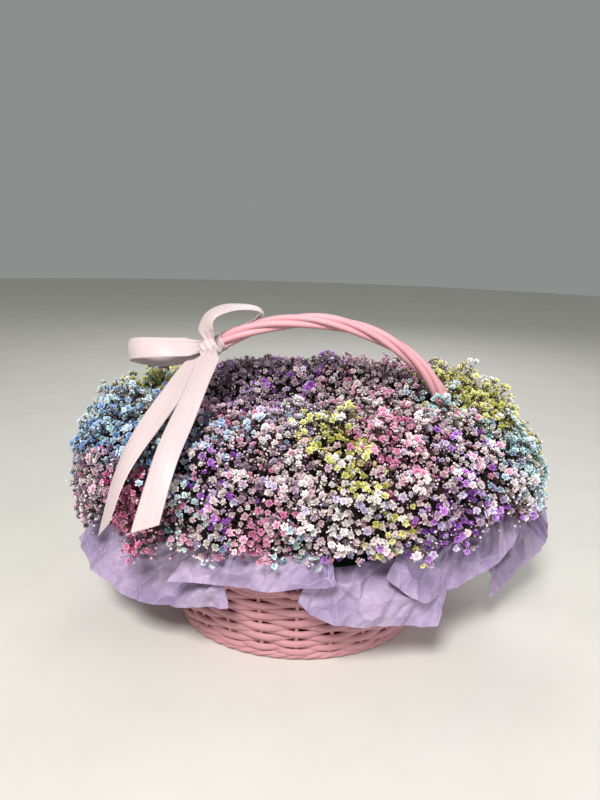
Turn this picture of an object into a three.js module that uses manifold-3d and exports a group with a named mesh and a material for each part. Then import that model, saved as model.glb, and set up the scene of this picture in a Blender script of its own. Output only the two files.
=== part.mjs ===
// A standing flower basket: dyed baby's breath in an oval wicker basket with a twisted arch handle,
// a tissue paper collar and a ribbon bow. Millimetres, +Z up, origin at the centre of the basket's
// underside, +X to the right of the front, the front looks along -Y.
import * as THREE from 'three';
import { mergeVertices } from 'three/addons/utils/BufferGeometryUtils.js';
import Module from 'manifold-3d';

const wasm = await Module();
wasm.setup();

// ---- driving dimensions ----
const GAP = 0.3; // clearance between pieces that touch

// wicker basket: an oval that flares from its foot to its rim
const FOOT = { a: 148, b: 112 };
const MOUTH = { a: 175, b: 135 };
const WALL_HEIGHT = 112;
const WALL_THICKNESS = 7;
const WEAVER_ROWS = 9;
const STAKES = 24;
const WEAVER_BULGE = 1.6;
const WEAVER_GROOVE = 2.2;
const BASE_THICKNESS = 6;
const BASE_CHAMFER = 2;
const RIM_RADIUS = 7.6;
const RIM_STEPS = 44;
const RIM_TWISTS = 22;
const RIM_SIDES = 6;
const RIM_TWIST_DEPTH = 0.9;

// handle: rods twisted round each other along one arch
const HANDLE_RODS = 4;
const ROD_RADIUS = 3.3;
const ROD_ORBIT = 5.05;
const ROD_PITCH = 232;
const HANDLE_STEPS = 40;
const ROD_SIDES = 5;
const HANDLE_TOP = 376;
const ARCH_RISE = 146;
const ARCH_HALF_WIDTH = 175;
const ARCH_SHIFT = 6;
const HANDLE_AT_RIM = 155;
const HANDLE_FOOT_Z = 40;

// waterproof liner and the foam block in it
const LINER = { a: 111.5, b: 79.5, height: 96, thickness: 1.2 };
const FOAM_TOP = 130;
const OVAL_SEGMENTS = 24;

// flower mass: a boxy dome, higher at the back, with a trough under the handle
const DOME = { x: 9, y: -3, a: 293, b: 184, waist: 185 };
const DOME_PLAN_POWER = 2.5; // how oval the mass is from above
const DOME_SIDE_POWER = 4; // how upright its sides are
const DOME_SHOULDER = { front: 2, leftEnd: 2.2, rightEnd: 1.2 };
const DOME_TOP = 312;
const DOME_TILT_BACK = 0.24;
const DOME_TILT_RIGHT = 0.03;
const HAND_TROUGH = { depth: 40, halfLength: 140, halfWidth: 38 };
const UNDERSIDE = { middle: 95, ends: 120 };
const FLOOR = { middle: 157, inner: 60, outer: 200, leftDrop: 20, rightRise: 22, rim: 1.08, beyond: 0.35 };
const STEM_START = 165;
const FLORET_RADIUS = 18;
const FLORET_SIDES = 5;
const FLORET_TRIES = 2400;
const FLORET_SPACING = 2;
const FLORET_EDGE = 0.6; // how near a floret's middle may come to a neighbour, in radii
const FLORET_DOME = 0.7; // height of a floret's crown, in radii
const FLORET_REACH = 160; // neighbours further off than twice this are never touched
const STEM_RADIUS = 2.4;
const STEM_HOLE_RADIUS = 3.2;

// tissue paper and ribbon
const TISSUE_THICKNESS = 0.8;
const RIBBON_WIDTH = 25;
const RIBBON_THICKNESS = 0.8;

// ---- materials ----
function finish(color, roughness, metalness = 0) {
  return new THREE.MeshStandardMaterial({ color, roughness, metalness });
}
const WICKER = finish(0xe2969c, 0.6);
const HANDLE = finish(0xf2adb0, 0.5);
const LINER_PLASTIC = finish(0x30403a, 0.5);
const FOAM = finish(0x4f7a4a, 0.95);
const TISSUE = finish(0xb39fca, 0.75);
const RIBBON = finish(0xf1e2e2, 0.35);
const DYES = {
  blue: finish(0x7fa6d8, 0.8),
  aqua: finish(0xa5cfd6, 0.8),
  green: finish(0xc5cf6a, 0.8),
  yellow: finish(0xf0e27c, 0.8),
  pink: finish(0xeab8c4, 0.8),
  rose: finish(0xd9668f, 0.8),
  mauve: finish(0xa47c97, 0.8),
  violet: finish(0x8c52b8, 0.8),
};

const basket = new THREE.Group();

function addPiece(name, geometry, material) {
  const mesh = new THREE.Mesh(geometry, material);
  mesh.name = name;
  basket.add(mesh);
}

// ---- closed bodies from rings and grids ----
function seededRandom(seed) {
  let state = seed;
  return () => {
    state = (state * 1664525 + 1013904223) % 4294967296;
    return state / 4294967296;
  };
}

// Makes an indexed geometry whose faces point out, whichever way the rings ran.
function closedBody(points, triangles) {
  let volume = 0;
  for (const [i, j, k] of triangles) {
    volume += points[i].dot(points[j].clone().cross(points[k]));
  }
  const faces = volume < 0 ? triangles.map(([i, j, k]) => [i, k, j]) : triangles;
  const geometry = new THREE.BufferGeometry();
  const flat = points.flatMap((point) => point.toArray());
  geometry.setAttribute('position', new THREE.Float32BufferAttribute(flat, 3));
  geometry.setIndex(faces.flat());
  return geometry;
}

// Joins rings of equal length into a tube; a closed one bites its own tail, an open one is capped.
function loft(rings, closed = false) {
  const sides = rings[0].length;
  const triangles = [];
  const spans = closed ? rings.length : rings.length - 1;
  for (let i = 0; i < spans; i += 1) {
    const here = i * sides;
    const next = ((i + 1) % rings.length) * sides;
    for (let j = 0; j < sides; j += 1) {
      const k = (j + 1) % sides;
      triangles.push([here + j, next + j, next + k], [here + j, next + k, here + k]);
    }
  }
  if (!closed) {
    const last = (rings.length - 1) * sides;
    for (let j = 1; j < sides - 1; j += 1) {
      triangles.push([0, j, j + 1], [last, last + j + 1, last + j]);
    }
  }
  return closedBody(rings.flat(), triangles);
}

// Closes a grid of points into a thin sheet, split alike on both faces.
function sheet(grid, thickness) {
  const rows = grid.length;
  const columns = grid[0].length;
  const at = (i, j) => grid[Math.min(Math.max(i, 0), rows - 1)][Math.min(Math.max(j, 0), columns - 1)];
  const upper = [];
  const lower = [];
  for (let i = 0; i < rows; i += 1) {
    for (let j = 0; j < columns; j += 1) {
      const along = at(i + 1, j).clone().sub(at(i - 1, j));
      const across = at(i, j + 1).clone().sub(at(i, j - 1));
      const lift = along.cross(across).normalize().multiplyScalar(thickness / 2);
      upper.push(at(i, j).clone().add(lift));
      lower.push(at(i, j).clone().sub(lift));
    }
  }
  const count = rows * columns;
  const triangles = [];
  for (let i = 0; i < rows - 1; i += 1) {
    for (let j = 0; j < columns - 1; j += 1) {
      const p = i * columns + j;
      const q = p + columns;
      triangles.push([p, q, q + 1], [p, q + 1, p + 1]);
      triangles.push([p + count, q + 1 + count, q + count], [p + count, p + 1 + count, q + 1 + count]);
    }
  }
  const edge = [];
  for (let j = 0; j < columns - 1; j += 1) edge.push(j);
  for (let i = 0; i < rows - 1; i += 1) edge.push(i * columns + columns - 1);
  for (let j = columns - 1; j > 0; j -= 1) edge.push((rows - 1) * columns + j);
  for (let i = rows - 1; i > 0; i -= 1) edge.push(i * columns);
  for (let k = 0; k < edge.length; k += 1) {
    const p = edge[k];
    const q = edge[(k + 1) % edge.length];
    triangles.push([p, q, q + count], [p, q + count, p + count]);
  }
  return closedBody([...upper, ...lower], triangles);
}

function solid(geometry) {
  const bare = geometry.clone();
  bare.deleteAttribute('normal');
  bare.deleteAttribute('uv');
  const merged = mergeVertices(bare, 1e-4);
  const mesh = new wasm.Mesh({
    numProp: 3,
    vertProperties: Float32Array.from(merged.getAttribute('position').array),
    triVerts: Uint32Array.from(merged.getIndex().array),
  });
  return new wasm.Manifold(mesh);
}

// The largest piece of a solid as a geometry: scraps that a cut leaves loose are dropped.
function geometryOf(body) {
  const pieces = body.decompose().sort((p, q) => q.volume() - p.volume());
  const mesh = pieces[0].getMesh();
  const geometry = new THREE.BufferGeometry();
  geometry.setAttribute('position', new THREE.BufferAttribute(mesh.vertProperties, 3));
  geometry.setIndex(new THREE.BufferAttribute(mesh.triVerts, 1));
  return geometry;
}

function ovalPoint(a, b, angle, z) {
  return new THREE.Vector3(a * Math.cos(angle), b * Math.sin(angle), z);
}

function ovalPrism(a, b, bottom, top, chamfer = 0) {
  const levels = chamfer > 0
    ? [[chamfer, bottom], [0, bottom + chamfer], [0, top]]
    : [[0, bottom], [0, top]];
  return loft(levels.map(([inset, z]) => {
    const ring = [];
    for (let i = 0; i < OVAL_SEGMENTS; i += 1) {
      ring.push(ovalPoint(a - inset, b - inset, (2 * Math.PI * i) / OVAL_SEGMENTS, z));
    }
    return ring;
  }));
}

// A round bar between two points, for stems and for the holes that they stand in.
function bar(from, to, radius, sides) {
  const along = to.clone().sub(from);
  const geometry = new THREE.CylinderGeometry(radius, radius, along.length(), sides);
  const turn = new THREE.Quaternion();
  turn.setFromUnitVectors(new THREE.Vector3(0, 1, 0), along.clone().normalize());
  geometry.applyQuaternion(turn);
  const middle = from.clone().add(to).multiplyScalar(0.5);
  geometry.translate(middle.x, middle.y, middle.z);
  return geometry;
}

// ---- basket ----
function wallRadius(z) {
  const t = Math.pow(z / WALL_HEIGHT, 0.9);
  return { a: FOOT.a + (MOUTH.a - FOOT.a) * t, b: FOOT.b + (MOUTH.b - FOOT.b) * t };
}

// Each weaver bulges over every other stake and dips behind the next, and the rows take turns.
function basketWall() {
  const columns = STAKES * 2;
  const rowHeight = WALL_HEIGHT / WEAVER_ROWS;
  const rings = [];
  for (let i = 0; i < columns; i += 1) {
    const angle = (2 * Math.PI * i) / columns;
    const ring = [];
    for (let row = 0; row < WEAVER_ROWS; row += 1) {
      const foot = wallRadius(row * rowHeight);
      ring.push(ovalPoint(foot.a - WEAVER_GROOVE, foot.b - WEAVER_GROOVE, angle, row * rowHeight));
      const middle = wallRadius((row + 0.5) * rowHeight);
      const side = row % 2 === 0 ? 1 : -1;
      const bulge = side * WEAVER_BULGE * Math.cos((angle * STAKES) / 2);
      ring.push(ovalPoint(middle.a + bulge, middle.b + bulge, angle, (row + 0.5) * rowHeight));
    }
    ring.push(ovalPoint(MOUTH.a - WEAVER_GROOVE, MOUTH.b - WEAVER_GROOVE, angle, WALL_HEIGHT));
    for (const z of [WALL_HEIGHT, WALL_HEIGHT / 2, 0]) {
      const inner = wallRadius(z);
      ring.push(ovalPoint(inner.a - WALL_THICKNESS, inner.b - WALL_THICKNESS, angle, z));
    }
    rings.push(ring);
  }
  return loft(rings, true);
}

// The border sits on the wall and bulges in turn, as rods laid over each other do.
function basketRim() {
  const a = MOUTH.a - WALL_THICKNESS / 2;
  const b = MOUTH.b - WALL_THICKNESS / 2;
  const z = WALL_HEIGHT + GAP + RIM_RADIUS;
  const rings = [];
  for (let i = 0; i < RIM_STEPS; i += 1) {
    const angle = (2 * Math.PI * i) / RIM_STEPS;
    const ring = [];
    for (let j = 0; j < RIM_SIDES; j += 1) {
      const turn = (2 * Math.PI * (j + 0.5)) / RIM_SIDES;
      const dip = RIM_TWIST_DEPTH * (0.5 - 0.5 * Math.cos(2 * turn + angle * RIM_TWISTS));
      const radius = RIM_RADIUS - dip;
      const out = radius * Math.cos(turn);
      ring.push(ovalPoint(a + out, b + out, angle, z + radius * Math.sin(turn)));
    }
    rings.push(ring);
  }
  return loft(rings, true);
}

function liner() {
  const bottom = BASE_THICKNESS + GAP;
  const cup = solid(ovalPrism(LINER.a, LINER.b, bottom, LINER.height, BASE_CHAMFER));
  const hollow = ovalPrism(
    LINER.a - LINER.thickness,
    LINER.b - LINER.thickness,
    bottom + LINER.thickness,
    LINER.height + 10,
    BASE_CHAMFER,
  );
  return geometryOf(cup.subtract(solid(hollow)));
}

// ---- handle ----
// Half of the arch, from the top to the foot: a half ellipse, a nearly straight side, and a foot
// that lies inside the wall.
function handlePoint(side, t) {
  const springZ = HANDLE_TOP - ARCH_RISE;
  const rimZ = WALL_HEIGHT + GAP + RIM_RADIUS;
  if (t < 0.5) {
    const angle = (t / 0.5) * (Math.PI / 2);
    const x = ARCH_SHIFT + side * ARCH_HALF_WIDTH * Math.sin(angle);
    return new THREE.Vector3(x, 0, springZ + ARCH_RISE * Math.cos(angle));
  }
  if (t < 0.8) {
    const s = (t - 0.5) / 0.3;
    const fall = s * s * (3 - 2 * s);
    const spring = ARCH_SHIFT + side * ARCH_HALF_WIDTH;
    const x = spring + (side * HANDLE_AT_RIM - spring) * fall;
    return new THREE.Vector3(x, 0, springZ + (rimZ - springZ) * s);
  }
  const s = (t - 0.8) / 0.2;
  const z = rimZ + (HANDLE_FOOT_Z - rimZ) * s;
  const inside = wallRadius(Math.min(z, WALL_HEIGHT)).a - WALL_THICKNESS - GAP - ROD_ORBIT - ROD_RADIUS;
  return new THREE.Vector3(side * Math.min(HANDLE_AT_RIM, inside - 0.3), 0, z);
}

const handleCurve = new THREE.CatmullRomCurve3(
  [1, 0.93, 0.87, 0.8, 0.7, 0.6, 0.5, 0.4, 0.3, 0.2, 0.1].map((t) => handlePoint(-1, t))
    .concat([0, 0.1, 0.2, 0.3, 0.4, 0.5, 0.6, 0.7, 0.8, 0.87, 0.93, 1].map((t) => handlePoint(1, t))),
  false,
  'centripetal',
);
const HANDLE_LENGTH = handleCurve.getLength();

function handleFrame(u) {
  const centre = handleCurve.getPointAt(u);
  const along = handleCurve.getTangentAt(u);
  const outward = new THREE.Vector3(-along.z, 0, along.x).normalize();
  return { centre, along, outward };
}

function handleTube(orbit, radius, startTurn, sides, steps) {
  const rings = [];
  for (let i = 0; i <= steps; i += 1) {
    const u = i / steps;
    const { centre, outward } = handleFrame(u);
    const front = new THREE.Vector3(0, -1, 0);
    const turn = startTurn + (2 * Math.PI * u * HANDLE_LENGTH) / ROD_PITCH;
    const middle = centre.clone()
      .addScaledVector(outward, orbit * Math.cos(turn))
      .addScaledVector(front, orbit * Math.sin(turn));
    const ring = [];
    for (let j = 0; j < sides; j += 1) {
      const angle = (2 * Math.PI * j) / sides;
      ring.push(middle.clone()
        .addScaledVector(outward, radius * Math.cos(angle))
        .addScaledVector(front, radius * Math.sin(angle)));
    }
    rings.push(ring);
  }
  return loft(rings);
}

// ---- flower mass ----
function domeTop(x, y) {
  const along = 1 / (1 + Math.pow(Math.abs(x) / HAND_TROUGH.halfLength, 6));
  const trough = HAND_TROUGH.depth * Math.exp(-((y / HAND_TROUGH.halfWidth) ** 2)) * along;
  return DOME_TOP + DOME_TILT_BACK * y + DOME_TILT_RIGHT * x - trough;
}

// Below 1 inside the flower mass and above 1 outside it; inset shrinks it on every side.
function domeLevel(point, inset) {
  const x = Math.abs(point.x - DOME.x) / (DOME.a - inset);
  const y = Math.abs(point.y - DOME.y) / (DOME.b - inset);
  const plan = Math.pow(x ** DOME_PLAN_POWER + y ** DOME_PLAN_POWER, DOME_SIDE_POWER / DOME_PLAN_POWER);
  if (point.z > DOME.waist) {
    const end = point.x < DOME.x ? DOME_SHOULDER.leftEnd : DOME_SHOULDER.rightEnd;
    const shoulder = DOME_SHOULDER.front + end * Math.min(1, x * x);
    const height = domeTop(point.x, point.y) - inset - DOME.waist;
    return plan + Math.pow((point.z - DOME.waist) / height, shoulder);
  }
  const under = UNDERSIDE.middle + UNDERSIDE.ends * (point.x / DOME.a) ** 2 - inset;
  return plan + ((DOME.waist - point.z) / under) ** 2;
}

// The underside of the flowers: over the collar, and outside the rim lower on the left and higher on
// the right.
function flowerFloor(x, y) {
  const ring = Math.hypot(x / MOUTH.a, y / MOUTH.b);
  const out = THREE.MathUtils.clamp((ring - FLOOR.rim) / FLOOR.beyond, 0, 1);
  const left = THREE.MathUtils.smoothstep(-x, FLOOR.inner, FLOOR.outer);
  const right = THREE.MathUtils.smoothstep(x, FLOOR.inner, FLOOR.outer);
  return FLOOR.middle - FLOOR.leftDrop * left * out + FLOOR.rightRise * right * out;
}

function outwardAt(point) {
  const step = 0.5;
  const slope = ['x', 'y', 'z'].map((axis) => {
    const ahead = point.clone();
    ahead[axis] += step;
    const behind = point.clone();
    behind[axis] -= step;
    return domeLevel(ahead, 0) - domeLevel(behind, 0);
  });
  return new THREE.Vector3(...slope).normalize();
}

// How far a ray runs from a point inside before a test says that it is out.
function reach(from, direction, isInside) {
  let near = 0;
  let far = 400;
  for (let i = 0; i < 24; i += 1) {
    const middle = (near + far) / 2;
    if (isInside(from.clone().addScaledVector(direction, middle))) near = middle;
    else far = middle;
  }
  return near;
}

const SPRAYS = [
  ['spray_front_1', -212, -118, 'mauve'],
  ['spray_front_2', -126, -124, 'blue'],
  ['spray_front_3', -42, -120, 'rose'],
  ['spray_front_4', 44, -126, 'pink'],
  ['spray_front_5', 126, -118, 'yellow'],
  ['spray_front_6', 212, -116, 'violet'],
  ['spray_midfront_1', -236, -36, 'blue'],
  ['spray_midfront_2', -150, -44, 'aqua'],
  ['spray_midfront_3', -62, -42, 'pink'],
  ['spray_midfront_4', 28, -46, 'yellow'],
  ['spray_midfront_5', 126, -40, 'rose'],
  ['spray_midfront_6', 236, -34, 'pink'],
  ['spray_midback_1', -232, 48, 'aqua'],
  ['spray_midback_2', -140, 44, 'green'],
  ['spray_midback_3', -46, 40, 'mauve'],
  ['spray_midback_4', 52, 44, 'pink'],
  ['spray_midback_5', 146, 42, 'aqua'],
  ['spray_midback_6', 240, 48, 'yellow'],
  ['spray_back_1', -196, 122, 'green'],
  ['spray_back_2', -98, 120, 'mauve'],
  ['spray_back_3', 4, 122, 'violet'],
  ['spray_back_4', 104, 120, 'pink'],
  ['spray_back_5', 206, 118, 'yellow'],
];

function sprayCentre(x, y) {
  return new THREE.Vector3(x, y, (flowerFloor(x, y) + Math.min(domeTop(x, y), 300)) / 2);
}

// A stem leaves its spray low down, passes over the rim and ends in the foam.
function stemEnds(x, y) {
  const ring = Math.hypot(x / MOUTH.a, y / MOUTH.b);
  const lift = THREE.MathUtils.smoothstep(ring, 0.9, 1.4);
  const start = new THREE.Vector3(x, y, STEM_START + 4 * lift);
  const end = new THREE.Vector3(0.32 * x, 0.36 * y, 104 + 8 * lift);
  return { start, end };
}

// Walls half way to each neighbour keep a spray in its own place.
function neighbourWalls(x, y) {
  return SPRAYS.filter(([, ox, oy]) => ox !== x || oy !== y).map(([, ox, oy]) => {
    const normal = new THREE.Vector3(ox - x, oy - y, 0);
    const distance = normal.length() / 2 - GAP / 2 - 0.05;
    return { normal: normal.normalize(), distance };
  });
}

function spray(index) {
  const [, x, y] = SPRAYS[index];
  const centre = sprayCentre(x, y);
  const walls = neighbourWalls(x, y);
  const coreInset = FLORET_RADIUS * 0.95;

  function coreReach(direction) {
    const limits = [reach(centre, direction, (p) => domeLevel(p, coreInset) < 1)];
    for (const wall of walls) {
      const towards = direction.dot(wall.normal);
      if (towards > 0.01) limits.push(wall.distance / towards);
    }
    if (direction.z < 0) limits.push(reach(centre, direction, (p) => p.z > flowerFloor(p.x, p.y)));
    const sharpness = 16;
    const sum = limits.reduce((total, limit) => total + Math.pow(limit, -sharpness), 0);
    return Math.pow(sum, -1 / sharpness);
  }

  const ball = new THREE.IcosahedronGeometry(1, 1);
  ball.deleteAttribute('normal');
  ball.deleteAttribute('uv');
  const core = mergeVertices(ball);
  const position = core.getAttribute('position');
  for (let i = 0; i < position.count; i += 1) {
    const direction = new THREE.Vector3().fromBufferAttribute(position, i).normalize();
    const place = centre.clone().addScaledVector(direction, coreReach(direction));
    position.setXYZ(i, place.x, place.y, place.z);
  }
  const { start, end } = stemEnds(x, y);
  let body = solid(core);

  const random = seededRandom(101 + index * 37);
  const kept = [];
  const goldenAngle = Math.PI * (3 - Math.sqrt(5));
  const turn0 = random() * 2 * Math.PI;
  for (let i = 0; i < FLORET_TRIES; i += 1) {
    const height = 1 - (1.75 * (i + random())) / FLORET_TRIES;
    const level = Math.sqrt(Math.max(0, 1 - height * height));
    const turn = turn0 + i * goldenAngle;
    const direction = new THREE.Vector3(level * Math.cos(turn), level * Math.sin(turn), height);
    const radius = FLORET_RADIUS * (0.86 + 0.14 * random());
    const far = reach(centre, direction, (p) => domeLevel(p, radius * FLORET_DOME) < 1);
    const place = centre.clone().addScaledVector(direction, far);
    const margin = radius * FLORET_EDGE;
    const inside = walls.every((wall) => place.clone().sub(centre).dot(wall.normal) < wall.distance - margin);
    const clear = place.z > flowerFloor(place.x, place.y) + radius * FLORET_DOME;
    const apart = kept.every((other) => other.place.distanceTo(place) > FLORET_SPACING * FLORET_RADIUS);
    if (inside && clear && apart) kept.push({ place, direction, radius, spin: random() * 2 * Math.PI });
  }
  for (const floret of kept) {
    const outward = outwardAt(floret.place);
    const side = new THREE.Vector3(0.3, 0.2, 1).cross(outward).normalize();
    const other = outward.clone().cross(side);
    const points = [
      floret.place.clone().addScaledVector(outward, floret.radius * FLORET_DOME),
      centre.clone().addScaledVector(floret.direction, coreReach(floret.direction) - FLORET_RADIUS),
    ];
    const triangles = [];
    for (let j = 0; j < FLORET_SIDES; j += 1) {
      const angle = floret.spin + (2 * Math.PI * j) / FLORET_SIDES;
      points.push(floret.place.clone()
        .addScaledVector(side, floret.radius * Math.cos(angle))
        .addScaledVector(other, floret.radius * Math.sin(angle)));
      const here = 2 + j;
      const next = 2 + ((j + 1) % FLORET_SIDES);
      triangles.push([0, here, next], [1, next, here]);
    }
    body = body.add(solid(closedBody(points, triangles)));
  }
  const tall = 2 * DOME_TOP;
  for (const wall of walls.filter(({ distance }) => distance < FLORET_REACH)) {
    const slab = new THREE.BoxGeometry(tall, tall, tall);
    slab.rotateZ(Math.atan2(wall.normal.y, wall.normal.x));
    const far = wall.distance + tall / 2;
    slab.translate(x + wall.normal.x * far, y + wall.normal.y * far, centre.z);
    body = body.subtract(solid(slab));
  }
  return body.add(solid(bar(end, start, STEM_RADIUS, 5)));
}

// ---- tissue collar ----
// Each sheet is tucked inside the rim and laid over it, then arches outward to its free edge. The
// tuck's rows are a distance out from the middle of the rim and a height.
const COLLAR_TUCK = [[-9.5, 98], [-9.5, 117.5], [-6.2, 126.1], [0, 128.6]];
const COLLAR_STEPS = [0.2, 0.5, 0.8, 1];
const PLEAT_DEPTH = 2.5;
const PLEATS_ROUND = 15;

// name, angles at the rim, height that pulls the arch up, and the free edge from end to end
const TISSUE_SHEETS = [
  ['tissue_front_left', 189, 240, 158, [
    [-266, -22, 97], [-236, -82, 84], [-192, -114, 78], [-146, -130, 79], [-104, -144, 85], [-70, -154, 98],
  ]],
  ['tissue_front', 243, 281, 181, [
    [-132, -147, 122], [-92, -161, 123], [-50, -170, 127], [-8, -176, 131], [22, -180, 135], [33, -181, 145],
  ]],
  ['tissue_front_right', 284, 313, 162, [
    [0, -168, 113], [14, -167, 95], [50, -163, 84], [100, -154, 80], [150, -139, 69], [155, -128, 92],
  ]],
  ['tissue_right_front', 316, 352, 176, [
    [92, -162, 138], [128, -151, 108], [176, -120, 108], [216, -94, 120], [240, -74, 146], [252, -44, 158],
  ]],
  ['tissue_right_back', 368, 404, 150, [
    [236, -60, 54], [286, -16, 76], [322, 10, 96], [320, 20, 136], [316, 36, 172], [296, 78, 160],
  ]],
  ['tissue_back_right', 411, 448, 170, [
    [262, 92, 118], [238, 132, 108], [196, 162, 104], [150, 180, 104], [106, 188, 108], [74, 190, 116],
  ]],
  ['tissue_back_left', 451, 491, 150, [
    [92, 184, 104], [44, 190, 96], [-10, 192, 92], [-66, 188, 92], [-120, 176, 94], [-158, 160, 98],
  ]],
  ['tissue_left_back', 494, 531, 172, [
    [-140, 174, 118], [-186, 152, 106], [-226, 118, 100], [-252, 78, 98], [-266, 36, 101], [-268, -4, 112],
  ]],
];

function tissueSheet([, from, to, arch, edge]) {
  const grid = COLLAR_TUCK.map(([out, height]) => edge.map((_, column) => {
    const angle = THREE.MathUtils.degToRad(from + ((to - from) * column) / (edge.length - 1));
    return ovalPoint(MOUTH.a - WALL_THICKNESS / 2 + out, MOUTH.b - WALL_THICKNESS / 2 + out, angle, height);
  }));
  const rim = grid[grid.length - 1];
  for (const step of COLLAR_STEPS) {
    grid.push(edge.map((point, column) => {
      const start = rim[column];
      const end = new THREE.Vector3(...point);
      const middle = start.clone().add(end).multiplyScalar(0.5).setZ(arch);
      const pleat = PLEAT_DEPTH * step * Math.sin(Math.atan2(start.y, start.x) * PLEATS_ROUND);
      return new THREE.QuadraticBezierCurve3(start, middle, end).getPoint(step)
        .add(new THREE.Vector3(0, 0, pleat));
    }));
  }
  return sheet(grid, TISSUE_THICKNESS);
}

// ---- ribbon ----
const KNOT_U = 0.369; // where along the handle the bow is tied
const knotFrame = handleFrame(KNOT_U);
const KNOT_SIZE = new THREE.Vector3(12, 7, 12);
const knotCentre = knotFrame.centre.clone()
  .addScaledVector(knotFrame.along, -6)
  .addScaledVector(knotFrame.outward, 2)
  .add(new THREE.Vector3(0, -15, 0));
const BAND_INNER = ROD_ORBIT + ROD_RADIUS + GAP + 0.3;
const BAND_THICKNESS = 1.2;
const BAND_WIDTH = 20;

function knotBall(extra) {
  const ball = new THREE.SphereGeometry(1, 10, 7);
  ball.scale(KNOT_SIZE.x + extra, KNOT_SIZE.y + extra, KNOT_SIZE.z + extra);
  ball.translate(knotCentre.x, knotCentre.y, knotCentre.z);
  return solid(ball);
}

function handleBand(inner, outer, width) {
  const half = knotFrame.along.clone().multiplyScalar(width / 2);
  const from = knotFrame.centre.clone().sub(half);
  const to = knotFrame.centre.clone().add(half);
  const past = knotFrame.along.clone().multiplyScalar(width / 4);
  const hole = solid(bar(from.clone().sub(past), to.clone().add(past), inner, 16));
  return solid(bar(from, to, outer, 16)).subtract(hole);
}

function ribbonStrip(route, facing, pinchStart, pinchEnd, steps) {
  const curve = new THREE.CatmullRomCurve3(route.map((p) => new THREE.Vector3(...p)));
  const faces = new THREE.CatmullRomCurve3(facing.map((p) => new THREE.Vector3(...p)));
  const rings = [];
  for (let i = 0; i <= steps; i += 1) {
    const u = i / steps;
    const centre = curve.getPointAt(u);
    const along = curve.getTangentAt(u);
    const across = along.clone().cross(faces.getPoint(u)).normalize();
    const normal = across.clone().cross(along).normalize();
    const pinch = Math.min(1, pinchStart + u * 6, pinchEnd + (1 - u) * 6);
    const half = (RIBBON_WIDTH / 2) * pinch;
    rings.push([[-half, -1], [half, -1], [half, 1], [-half, 1]].map(([w, n]) => centre.clone()
      .addScaledVector(across, w)
      .addScaledVector(normal, (n * RIBBON_THICKNESS) / 2)));
  }
  return loft(rings);
}

const TAIL_LEFT = [
  [-115, -15, 337], [-130, -41, 320], [-143, -74, 302], [-156, -107, 283], [-168, -138, 260],
  [-178, -163, 235], [-184, -178, 211], [-187, -186, 196],
];
const TAIL_RIGHT = [
  [-107, -22, 342], [-110, -56, 328], [-116, -91, 309], [-123, -126, 287], [-130, -157, 264],
  [-136, -179, 240], [-141, -193, 218], [-144, -199, 205],
];
const LOOP_LEFT = [
  [-117, -13, 345], [-137, -25, 345], [-164, -31, 345], [-190, -26, 343], [-205, -12, 340],
  [-205, 2, 338], [-190, 8, 338], [-164, 3, 339], [-138, -5, 342], [-119, -10, 344],
];
const LOOP_TOP = [
  [-109, -17, 349], [-114, -18, 366], [-108, -14, 381], [-88, -3, 390], [-66, 11, 389],
  [-54, 19, 382], [-62, 17, 374], [-80, 11, 366], [-96, 5, 357], [-105, 1, 352],
];

// ---- assembly ----
addPiece('basket_base', ovalPrism(
  FOOT.a - WALL_THICKNESS - 1.2,
  FOOT.b - WALL_THICKNESS - 1.2,
  0,
  BASE_THICKNESS,
  BASE_CHAMFER / 2,
), WICKER);
addPiece('basket_wall', basketWall(), WICKER);
addPiece('basket_rim', basketRim(), WICKER);
addPiece('plastic_liner', liner(), LINER_PLASTIC);

let foam = solid(ovalPrism(
  LINER.a - LINER.thickness - GAP - 0.1,
  LINER.b - LINER.thickness - GAP - 0.1,
  BASE_THICKNESS + LINER.thickness + 2 * GAP,
  FOAM_TOP,
  BASE_CHAMFER,
));
for (const [, x, y] of SPRAYS) {
  const { start, end } = stemEnds(x, y);
  const deeper = end.clone().sub(start).normalize();
  foam = foam.subtract(solid(bar(end.clone().addScaledVector(deeper, 1), start, STEM_HOLE_RADIUS, 5)));
}
addPiece('floral_foam', geometryOf(foam), FOAM);

for (let rod = 0; rod < HANDLE_RODS; rod += 1) {
  const startTurn = (2 * Math.PI * rod) / HANDLE_RODS;
  const geometry = handleTube(ROD_ORBIT, ROD_RADIUS, startTurn, ROD_SIDES, HANDLE_STEPS);
  addPiece(`handle_rod_${rod + 1}`, geometry, HANDLE);
}

// A channel is left in each spray for the handle and for the stems of the sprays beyond it.
SPRAYS.forEach(([name, , , dye], index) => {
  let channels = solid(handleTube(0, ROD_ORBIT + ROD_RADIUS + 2, 0, 8, 30));
  SPRAYS.filter((other) => other[0] !== name).forEach(([, x, y]) => {
    const { start, end } = stemEnds(x, y);
    channels = channels.add(solid(bar(end, start, STEM_HOLE_RADIUS, 5)));
  });
  addPiece(name, geometryOf(spray(index).subtract(channels)), DYES[dye]);
});

for (const row of TISSUE_SHEETS) addPiece(row[0], tissueSheet(row), TISSUE);

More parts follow.
